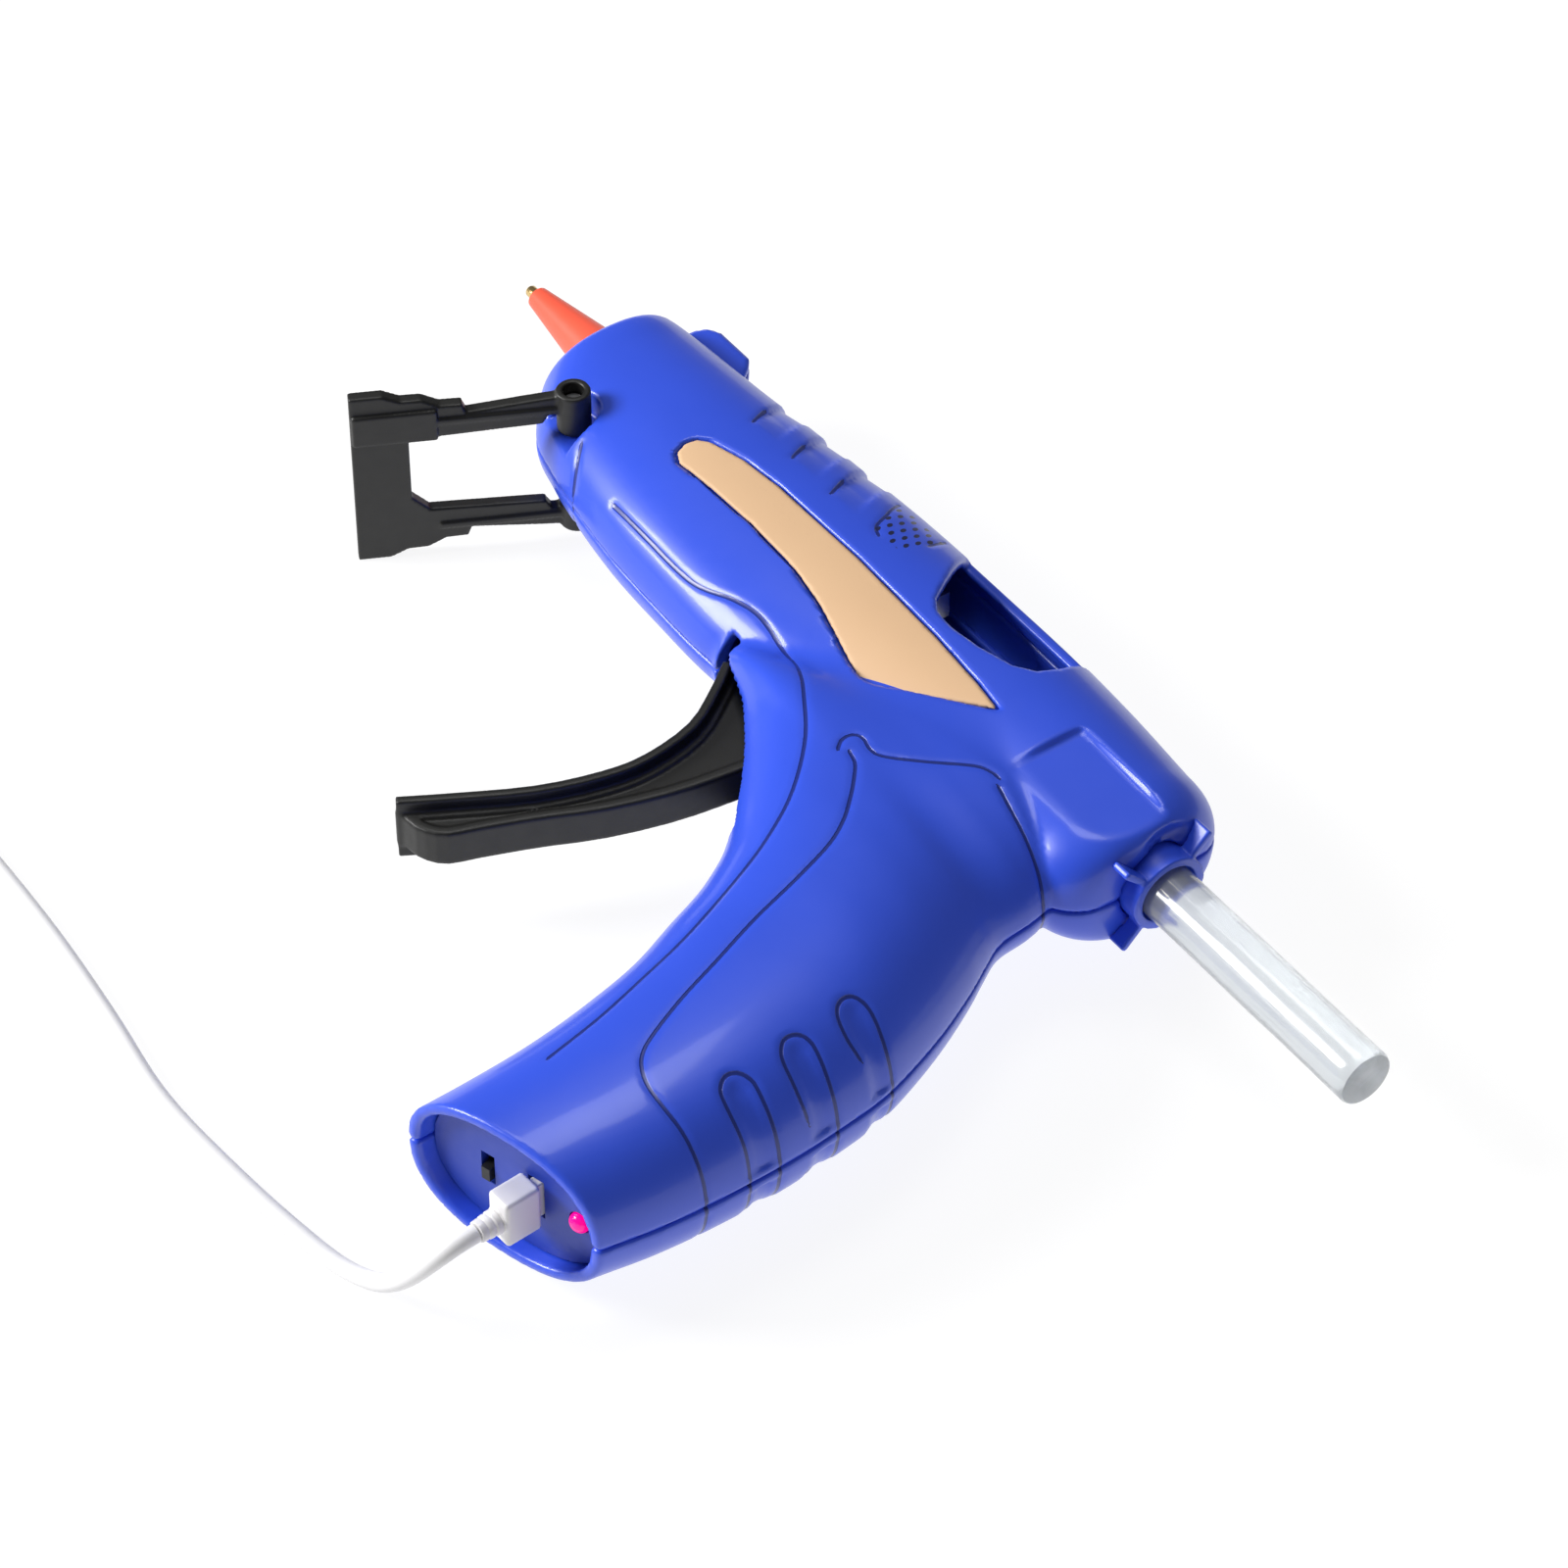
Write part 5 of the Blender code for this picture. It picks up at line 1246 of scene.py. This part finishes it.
@dataclass(frozen=True)
class HotEnd:
    """The brass nozzle in its silicone sleeve.

    Args:
        sleeve_end: the sleeve's rear end.
        thread_start: where the nozzle's thread starts.
    """

    sleeve_end: float = 31.5
    thread_start: float = 28.7

    def build(self) -> None:
        """Turn the nozzle and its sleeve, and dress the parts behind them."""
        nozzle = ((0.0, 35.6), (3.0, 35.6), (3.0, self.thread_start), (4.4, self.thread_start),
                  (4.4, self.thread_start - 4.0), (1.25, 1.6), (1.25, 0.45), (1.0, 0.05), (0.55, 0.0),
                  (0.5, 0.6), (0.0, 0.7))
        piece = turned_piece("brass_nozzle", nozzle, (0, 0, 0), (1, 0, 0), soften=0.06)
        place_piece(piece, Looks.BRASS, "housing", "brass", "nozzle_tip")
        ridge = [(6.0 - 3.8 * (29.0 - x) / 26.9, x) for x in np.linspace(28.6, 3.3, 24)]
        sleeve = [(6.0, self.sleeve_end), (6.02, 29.2), *ridge, (2.3, 2.95), (2.1, 2.75), (1.72, 2.85),
                  (4.7, self.thread_start - 4.0), (4.7, self.sleeve_end), (6.0, self.sleeve_end)]
        piece = turned_piece("silicone_sleeve", sleeve, (0, 0, 0), (1, 0, 0))
        place_piece(piece, Looks.SILICONE, "housing", "orange_silicone", "nozzle_sleeve")
        WARDROBE.dress_nodes(Looks.ALUMINIUM, "heating_chamber", "heater_block")
        WARDROBE.dress_nodes(Looks.CERAMIC, "heater_element", "front_mount")
        WARDROBE.dress_nodes(Looks.SILICONE, "inlet_sleeve")
        WARDROBE.dress_nodes(Looks.STEEL, "sleeve_clip")


@dataclass(frozen=True)
class Feed:
    """The glue stick and the carriage that pushes it.

    Args:
        radius: the stick's radius.
        start, end: its ends along the barrel's axis.
    """

    radius: float = 5.6
    start: float = 56.5
    end: float = 262.0

    def build(self) -> None:
        """Build the stick with its cut ends, and dress the carriage and clamp."""
        body = [(self.radius - 0.03 * math.sin(x * 0.21), x)
                for x in np.linspace(self.end - 0.9, self.start + 0.9, 120)]
        profile = [(0.0, self.end - 0.25), (2.0, self.end - 0.1), (4.6, self.end),
                   (5.3, self.end - 0.25), *body, (5.2, self.start + 0.2), (4.6, self.start),
                   (0.0, self.start + 0.2)]
        piece = turned_piece("loaded_glue_stick", profile, (0, 0, 0), (1, 0, 0))
        place_piece(piece, Looks.GLUE, "stick", "clear_glue", "glue_stick")
        WARDROBE.dress_nodes(Looks.BLACK, "feed_carriage")
        WARDROBE.dress_nodes(Looks.STEEL, "stick_clamp", "link_pin", "return_spring", "trigger_pin")


@dataclass(frozen=True)
class Trigger:
    """The curved trigger bar, in its pivot's own place.

    Args:
        pivot: the hinge's place.
        half_width: half the finger face's width.
        face: the finger face's thickness.
        web: thickness of the bar behind it.
        lever_hole: height of the link pin above the pivot.
        front, back: points of its front and back edges, from the pivot.
    """

    pivot: tuple[float, float] = (124.0, -21.0)
    half_width: float = 7.0
    face: float = 1.9
    web: float = 8.0
    lever_hole: float = 10.5
    front: Outline = ((-8.0, -13.4), (-3.4, -19.6), (1.7, -28.1), (3.7, -39.1), (2.7, -48.1),
                      (-1.3, -60.1), (-8.3, -73.1), (-13.6, -82.2))
    back: Outline = ((15.4, -20.0), (14.8, -26.7), (12.8, -38.7), (8.8, -51.7), (3.8, -62.7),
                     (-0.2, -72.7), (-2.6, -78.8), (-6.6, -81.8), (-11.6, -82.6))

    def outlines(self) -> tuple[Array, Array]:
        """The trigger seen from the side.

        Returns:
            The outlines of the finger face and of the bar behind it.
        """
        front = smooth_line(self.front, 22)
        back = smooth_line(self.back, 20)
        run = np.gradient(front, axis=0)
        run /= np.linalg.norm(run, axis=1)[:, None]
        inner = front + self.face * np.column_stack([-run[:, 1], run[:, 0]])
        face = np.vstack([front, inner[::-1]])
        web = np.vstack([(-4.4, 0.0), (inner + front) / 2.0, back[::-1], (4.4, 0.0)])
        return face, web

    def solid(self, x: Array, y: Array, z: Array) -> Array:
        """Face, web, hub and link levers, joined with small fillets.

        Args:
            x, y, z: the places to measure at, in gun millimetres.

        Returns:
            The field there, negative inside.
        """
        px, py = x - self.pivot[0], y - self.pivot[1]
        wide = np.abs(z)
        face_line, web_line = self.outlines()
        face = shared(outline_distance(px, py, face_line), wide - self.half_width, 0.5)
        web_edge = outline_distance(px, py, web_line)
        web = shared(web_edge, wide - self.web / 2.0, 0.8)
        panel = np.maximum(web_edge + 2.2, 3.4 - wide)
        web = less(web, np.maximum(panel, py + 12.0), 0.3)
        hub = shared(np.hypot(px, py) - 4.4, wide - self.half_width, 0.3)
        lever = shared(line_distance(px, py, ((0.0, 0.0), (0.0, self.lever_hole))) - 2.4,
                       np.abs(wide - 4.7) - 1.2, 0.2)
        whole = blend(blend(face, web, 0.9), hub, 0.6)
        whole = np.minimum(whole, lever)
        whole = less(whole, np.hypot(px, py) - 1.8, 0.15)
        return less(whole, np.hypot(px, py - self.lever_hole) - 1.5, 0.15)

    def build(self) -> None:
        """Build the trigger."""
        points, faces = sample_surface(self.solid, (109.6, -105.0, -7.6), (140.4, -7.0, 7.6), 0.42)
        piece = mesh_piece("trigger_skin", points, faces)
        place_piece(piece, Looks.BLACK, "trigger", "black_plastic", "trigger")


@dataclass(frozen=True)
class Stand:
    """The folding stand, worked out hanging straight down and then turned.

    Args:
        hub: the hinge's place.
        angle: how far it is turned from straight down, in degrees.
        thickness: the flat frame's thickness.
        side, opening: half its outer and inner outlines, as distance from the hub and z.
        chamfer: size of the opening's cut corner.
    """

    hub: tuple[float, float] = (46.4, -20.5)
    angle: float = -27.1
    thickness: float = 2.6
    side: Outline = ((0.0, 16.6), (8.0, 16.0), (20.8, 14.8), (21.6, 16.9), (25.9, 17.0),
                     (29.4, 18.9), (33.4, 19.0), (36.8, 20.7), (43.3, 20.7))
    opening: Outline = ((0.0, 12.0), (5.0, 12.0), (6.2, 10.0), (32.2, 9.2))
    chamfer: float = 3.4

    def frame_outline(self) -> list[tuple[float, float]]:
        """The flat frame, seen square on.

        Returns:
            Its outline as distance from the pivot and z.
        """
        half = list(self.side)[::-1] + list(self.opening)
        corner = self.opening[-1]
        mirrored = [(distance, -z) for distance, z in half[::-1]]
        cut = [(corner[0], self.chamfer - corner[1]), (corner[0] - self.chamfer, -corner[1])]
        return half + cut + mirrored[1:]

    def solid(self, x: Array, y: Array, z: Array) -> Array:
        """Frame plate, raised pads, hubs and bore, in the turned frame.

        Args:
            x, y, z: the places to measure at, in gun millimetres.

        Returns:
            The field there, negative inside.
        """
        turn = math.radians(self.angle)
        px, py = x - self.hub[0], y - self.hub[1]
        across = px * math.cos(turn) + py * math.sin(turn)
        down = px * math.sin(turn) - py * math.cos(turn)
        plate_edge = outline_distance(down, z, self.frame_outline())
        plate = shared(plate_edge, np.abs(across) - self.thickness / 2.0, 0.45)
        pad = block(across, down, z, (0.6, 26.5, 9.2), (2.2, 43.0, 16.6), 0.5)
        rib = block(across, down, np.abs(z), (0.6, 3.0, 12.6), (1.9, 27.0, 14.2), 0.4)
        far = np.hypot(across, down)
        hub = shared(far - 3.4, np.abs(np.abs(z) - 12.3) - 4.7, 0.4)
        whole = blend(blend(blend(plate, pad, 0.4), rib, 0.4), hub, 0.7)
        return less(whole, far - 2.1, 0.35)

    def build(self) -> None:
        """Build the stand and dress its pins."""
        points, faces = sample_surface(self.solid, (24.0, -62.0, -21.4), (51.6, -16.0, 21.4), 0.42)
        piece = mesh_piece("stand_skin", points, faces)
        place_piece(piece, Looks.BLACK, "stand", "black_plastic", "bail_stand")
        WARDROBE.dress_nodes(Looks.STEEL, "stand_pin_left", "stand_pin_right")


# ------------------------------------------------------------------ butt and lead

@dataclass(frozen=True)
class ChargePort:
    """Charge light, switch and socket behind the butt plate.

    Args:
        lens_middle: the light's place along the butt.
        lens_radius: its radius.
        recess: how far the plate lies above the rim.
    """

    lens_middle: float = 14.6
    lens_radius: float = 2.0
    recess: float = 3.3

    def point(self, along: float, up: float) -> Array:
        """A point in the butt's frame: along its face and up into the handle."""
        tilt = math.radians(HOUSING.butt_tilt)
        return np.array([HOUSING.butt_middle[0] + along * math.cos(tilt) - up * math.sin(tilt),
                         HOUSING.butt_middle[1] + along * math.sin(tilt) + up * math.cos(tilt), 0.0])

    def build(self) -> None:
        """Turn the lens and dress the small parts."""
        radius = self.lens_radius
        dome = [(radius * math.sin(a), 0.6 - 1.6 * math.cos(a))
                for a in np.linspace(0.0, math.pi / 2.0, 16)]
        profile = [*dome, (radius, 9.0), (0.0, 9.0)]
        start = self.point(self.lens_middle, self.recess - 0.6)
        axis = self.point(0.0, 1.0) - self.point(0.0, 0.0)
        piece = turned_piece("charge_light", profile, start, axis, 48)
        place_piece(piece, Looks.LENS, "housing", "led_pink", "led_lens")
        WARDROBE.dress_nodes(Looks.BLACK, "switch_knob", "switch_body")
        WARDROBE.dress_nodes(Looks.STEEL, "usb_socket")
        WARDROBE.dress_nodes(Looks.BOARD, "circuit_board")
        WARDROBE.dress_nodes(Looks.CELL, "battery_cell")
        WARDROBE.dress_nodes(Looks.RED_WIRE, "heater_wire_left")
        WARDROBE.dress_nodes(Looks.BLACK, "heater_wire_right")
        WARDROBE.dress_nodes(Looks.STEEL, *(f"shell_screw_{number}" for number in range(1, 7)))


@dataclass(frozen=True)
class Lead:
    """The charging lead: plug, relief, one cord with its coil, tie and far plug.

    Args:
        grip: the place along the gun that the route's x counts from.
        radius: the cord's radius.
        floor: the floor's height.
        clearance: room between cord and floor.
        socket_offset: the socket's place along the butt.
        plug_tilt: the plug's turn from straight down, in degrees.
        plug: the plug's thickness, length and width.
        plug_clear: its distance from the butt plate.
        relief: length of the collar between plug and cord.
        coil_x: the coil's middle, counted from grip.
        coil_radius: radius of the coil's middle turn.
        coil_reach: how far the winding reaches beyond that turn.
        gap: room between neighbouring pieces.
        turns: turns in one layer.
        spacing: distance between the run's points.
        ease: how many of them the bend at the exit takes.
        straight: length of the straight piece at the exit.
        route: points of x, y and share of the height of the exit.
    """

    grip: float = 157.0
    radius: float = 1.75
    floor: float = -20.8
    clearance: float = 0.15
    socket_offset: float = 5.1
    plug_tilt: float = 3.5
    plug: tuple[float, float, float] = (5.4, 7.4, 10.4)
    plug_clear: float = 0.95
    relief: float = 4.2
    coil_x: float = -127.0
    coil_radius: float = 19.5
    coil_reach: float = 5.5
    gap: float = 0.3
    turns: int = 3
    spacing: float = 2.5
    ease: int = 12
    straight: float = 2.6
    route: tuple = (
        (43.9, -150.8, 0.86), (42.6, -153.2, 0.66), (40.0, -155.0, 0.43), (37.0, -156.2, 0.26),
        (32.4, -157.8, 0.14), (24.8, -160.1, 0.02), (10.8, -162.6, 0.0), (-7.2, -164.6, 0.0),
        (-30.2, -165.6, 0.0), (-50.2, -163.2, 0.0), (-75.0, -161.0, 0.0), (-100.0, -160.2, 0.0),
        (-115.0, -160.0, 0.0))

    @property
    def side(self) -> float:
        """Distance from the coil's middle to the cord beside its outer turn."""
        return self.coil_radius + self.coil_reach + self.gap + self.radius

    @property
    def rest(self) -> float:
        """Height of the cord's middle where it lies on the floor."""
        return self.floor + self.radius + self.clearance

    def point(self, across: float, up: float, z: float = 0.0) -> Array:
        """A point in the plug's frame, counted from where it meets the butt plate."""
        x, y, _ = PORT.point(self.socket_offset, PORT.recess)
        tilt = math.radians(self.plug_tilt)
        return np.array([x + across * math.cos(tilt) - up * math.sin(tilt),
                         y + across * math.sin(tilt) + up * math.cos(tilt), z])

    def coil(self, middle: tuple[float, float]) -> Array:
        """The wound length: three turns in, one layer up and three turns out.

        Each turn keeps its radius and steps over by one cord in its last sixth; the last
        quarter turn rolls off the coil's side, round the turn below it.

        Args:
            middle: the coil's middle on the floor.

        Returns:
            Its points, in gun millimetres.
        """
        pitch = 2.0 * self.radius + 0.06
        outer = self.coil_radius + pitch
        t = np.linspace(0.0, self.turns, self.turns * 28 + 1)[:-1]
        step_over = np.clip((t % 1.0 - 0.8) / 0.2, 0.0, 1.0)
        step_over = step_over * step_over * (3.0 - 2.0 * step_over)
        inward = outer - pitch * np.minimum(np.floor(t) + step_over, self.turns - 1)
        entry = np.clip(1.0 - t / 0.3, 0.0, 1.0)
        inward += (self.side - outer) * entry * entry * (3.0 - 2.0 * entry)
        rise = np.where(t > self.turns - 1, step_over, 0.0)
        low = np.column_stack([inward, np.full(len(t), self.rest) + pitch * rise, t])
        t = np.linspace(0.0, self.turns - 0.5, int((self.turns - 0.5) * 28) + 1)
        step_over = np.clip((t % 1.0 - 0.8) / 0.2, 0.0, 1.0)
        step_over = step_over * step_over * (3.0 - 2.0 * step_over)
        outward = outer - pitch * (self.turns - 1) + pitch * (np.floor(t) + step_over)
        roll = np.clip((t - (self.turns - 0.72)) / 0.2, 0.0, 1.0)
        roll = 0.5 * math.pi * roll * roll * (3.0 - 2.0 * roll)
        high = np.column_stack([outward + (self.side - outer) * np.sin(roll),
                                self.rest + pitch * np.cos(roll), self.turns + t])
        radius, height, turn = np.vstack([low, high]).T
        angle = math.pi / 2.0 + 2.0 * math.pi * turn
        return np.column_stack([middle[0] + radius * np.cos(angle), middle[1] + radius * np.sin(angle),
                                height])

    def free_run(self, middle: tuple[float, float]) -> Array:
        """The run from the relief to the coil's side.

        Args:
            middle: the coil's middle on the floor.

        Returns:
            Its points, in gun millimetres.
        """
        end = -self.plug_clear - self.plug[1] - self.gap - self.relief - self.gap
        points = [self.point(0.0, end), self.point(0.0, end - 2.6)]
        points += [np.array([self.grip + x, y, self.rest * (1.0 - share)]) for x, y, share in self.route]
        points.append(np.array([middle[0], middle[1] + self.side, self.rest]))
        points = np.array(points)
        chord = np.r_[0.0, np.cumsum(np.linalg.norm(np.diff(points, axis=0), axis=1))]
        run = smooth_table(np.column_stack([chord, points]), np.arange(0.0, chord[-1], self.spacing))
        axis = self.point(0.0, -1.0) - self.point(0.0, 0.0)
        start = points[0] + axis * self.straight
        reach = float(np.linalg.norm(run[self.ease] - start))
        arrive = run[self.ease + 1] - run[self.ease - 1]
        arrive = arrive / np.linalg.norm(arrive) * reach
        t = np.linspace(0.0, 1.0, self.ease + 3)[:, None]
        bend = ((2 * t**3 - 3 * t**2 + 1) * start + (t**3 - 2 * t**2 + t) * axis * reach
                + (3 * t**2 - 2 * t**3) * run[self.ease] + (t**3 - t**2) * arrive)
        run = np.vstack([points[0], points[0] + axis * self.straight / 2.0, bend, run[self.ease + 1:]])
        return self.eased(run)

    def eased(self, path: Array) -> Array:
        """Three rounds of averaging each point with its neighbours, ends held."""
        for _ in range(3):
            path = np.vstack([path[:2], (path[1:-3] + 2.0 * path[2:-2] + path[3:-1]) / 4.0, path[-2:]])
        return path

    def build(self) -> None:
        """Build the cord and its ends."""
        middle = (self.grip + self.coil_x, self.route[-1][1] - self.side)
        run = self.free_run(middle)
        wound = self.eased(self.coil(middle))
        tail_end = np.array([[middle[0] + 1.8, middle[1] - self.side, self.rest + 0.4]])
        path = GUN.row(np.vstack([run, wound, tail_end]))
        curve = bpy.data.curves.new("charging_cord", "CURVE")
        curve.dimensions = "3D"
        curve.bevel_depth = self.radius * 0.001
        curve.bevel_resolution = 5
        curve.use_fill_caps = True
        spline = curve.splines.new("POLY")
        spline.points.add(len(path) - 1)
        spline.points.foreach_set("co", np.column_stack([path, np.ones(len(path))]).ravel())
        spline.use_smooth = True
        cord = bpy.data.objects.new("charging_cord", curve)
        bpy.context.scene.collection.objects.link(cord)
        place_piece(cord, Looks.CORD, "housing", "white_plastic", "usb_cord", "cord_coil")
        plug = self.build_plug()
        relief = self.build_relief()
        WARDROBE.dress_nodes(Looks.WHITE, "far_relief", "far_plug_body")
        WARDROBE.dress_nodes(Looks.STEEL, "far_plug_shell")
        WARDROBE.dress_nodes(Looks.BLACK, "cord_tie")

    def build_plug(self) -> bpy.types.Object:
        """The moulded plug with its tongue.

        Returns:
            The piece.
        """

        def solid(x: Array, y: Array, z: Array) -> Array:
            """A softly edged block and its tongue, in the plug's frame.

            Args:
                x, y, z: the places to measure at, in gun millimetres.

            Returns:
                The field there, negative inside.
            """
            start = self.point(0.0, 0.0)
            tilt = math.radians(self.plug_tilt)
            px, py = x - start[0], y - start[1]
            across = px * math.cos(tilt) + py * math.sin(tilt)
            up = -px * math.sin(tilt) + py * math.cos(tilt)
            thick, length, width = self.plug
            top = -self.plug_clear
            body = block(across, up, z, (-thick / 2, top - length, -width / 2),
                         (thick / 2, top, width / 2), 0.75)
            neck = np.maximum(np.hypot(across, z) - 2.55, np.abs(up - top + length) - 0.25)
            tongue = block(across, up, z, (-1.2, top - 1.0, -4.1), (1.2, 7.4, 4.1), 0.3)
            return blend(np.minimum(body, neck), tongue, 0.2)

        points, faces = sample_surface(solid, (195.6, -142.4, -5.8), (205.0, -123.6, 5.8), 0.24)
        piece = mesh_piece("charging_plug", points, faces)
        return place_piece(piece, Looks.WHITE, "housing", "white_plastic", "usb_plug")

    def build_relief(self) -> bpy.types.Object:
        """The short tapered collar between plug and cord.

        Returns:
            The piece.
        """
        top = -self.plug_clear - self.plug[1] - self.gap
        start = self.point(0.0, top)
        axis = self.point(0.0, -1.0) - self.point(0.0, 0.0)
        length = self.relief
        profile = [(0.0, 0.0), (2.35, 0.0), (2.4, 0.3), (2.4, 1.1), (2.15, 1.4), (2.3, 1.8), (2.25, 2.5),
                   (2.05, 2.8), (2.15, 3.2), (2.05, length - 0.1), (1.9, length), (0.0, length)]
        piece = turned_piece("plug_collar", profile, start, axis, 48)
        return place_piece(piece, Looks.WHITE, "housing", "white_plastic", "plug_relief")


HOUSING = Housing()
PORT = ChargePort()


# ------------------------------------------------------------------ studio

@dataclass(frozen=True)
class Studio:
    """Pale floor, soft lights and the camera.

    Args:
        aim: the middle of the view, in gun millimetres.
        back, right: directions from the aim to the camera and to the view's right.
        distance: the camera's distance from the aim, in millimetres.
        lens: its focal length, in millimetres.
    """

    aim: tuple[float, float, float] = (143.25, -40.1, 0.0)
    back: tuple[float, float, float] = (0.5749, -0.4117, 0.7071)
    right: tuple[float, float, float] = (0.5823, 0.8130, 0.0)
    distance: float = 1077.6
    lens: float = 135.0

    def build_camera(self) -> None:
        """Aim the camera down its line of sight."""
        data = bpy.data.cameras.new("camera")
        data.lens = self.lens
        data.sensor_width = 36.0
        data.clip_start = 0.01
        camera = bpy.data.objects.new("camera", data)
        bpy.context.scene.collection.objects.link(camera)
        back, right = Vector(self.back).normalized(), Vector(self.right).normalized()
        up = back.cross(right)
        place = Matrix((right, up, back)).transposed().to_4x4()
        place.translation = Vector(GUN.row(np.array(self.aim) + np.array(back) * self.distance))
        camera.matrix_world = place
        bpy.context.scene.camera = camera

    def build_floor(self) -> None:
        """A wide plain sheet under the gun."""
        size = 3.0
        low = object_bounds()[0][2]
        mesh = bpy.data.meshes.new("floor")
        corners = [(-size, -size, low), (size, -size, low), (size, size, low), (-size, size, low)]
        mesh.from_pydata(corners, [], [(0, 1, 2, 3)])
        floor = bpy.data.objects.new("floor", mesh)
        bpy.context.scene.collection.objects.link(floor)
        tree = NodeTree("pale_floor")
        dust = tree.noise(tree.place(), 0.02, 2.0)
        floor.data.materials.append(tree.finish(
            base_color=tree.mix(dust, (0.16, 0.16, 0.16), (0.17, 0.17, 0.17)), roughness=0.9,
            specular_ior_level=0.1, emission_color=(1.0, 1.0, 1.0, 1.0), emission_strength=0.90))
        floor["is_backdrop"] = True

    def light(self, name: str, place: Sequence[float], size: float, power: float) -> None:
        """One square softbox that faces the middle of the gun.

        Args:
            name: the light's name.
            place: where it stands from the middle of the gun, in metres.
            size: its side, in metres.
            power: its power, in watts.
        """
        data = bpy.data.lights.new(name, "AREA")
        data.size = size
        data.energy = power
        lamp = bpy.data.objects.new(name, data)
        bpy.context.scene.collection.objects.link(lamp)
        target = Vector(GUN.row(np.array(self.aim)))
        lamp.location = target + Vector(place)
        lamp.rotation_euler = (target - lamp.location).to_track_quat("-Z", "Y").to_euler()

    def build(self) -> None:
        """Lights, backdrop and colour handling."""
        self.build_floor()
        self.light("key", (-0.80, -0.95, 0.75), 0.55, 24.0)
        self.light("top", (-0.35, 0.15, 1.25), 0.5, 4.5)
        world = bpy.data.worlds.new("soft_surround")
        world.use_nodes = True
        world.node_tree.nodes["Background"].inputs["Color"].default_value = (1.0, 1.0, 1.0, 1.0)
        world.node_tree.nodes["Background"].inputs["Strength"].default_value = 0.15
        bpy.context.scene.world = world
        bpy.context.scene.view_settings.view_transform = "Standard"


def main() -> None:
    """Build every sub-assembly in order."""
    logging.basicConfig(level=logging.INFO, format="%(name)s: %(message)s")
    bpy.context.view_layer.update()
    studio = Studio()
    studio.build_camera()
    for assembly in (Lead(), HOUSING, Inlet(), HotEnd(), Feed(), Trigger(), Stand(), PORT):
        LOG.info("building %s", type(assembly).__name__)
        assembly.build()
    studio.build()


if __name__ == "__main__":
    main()
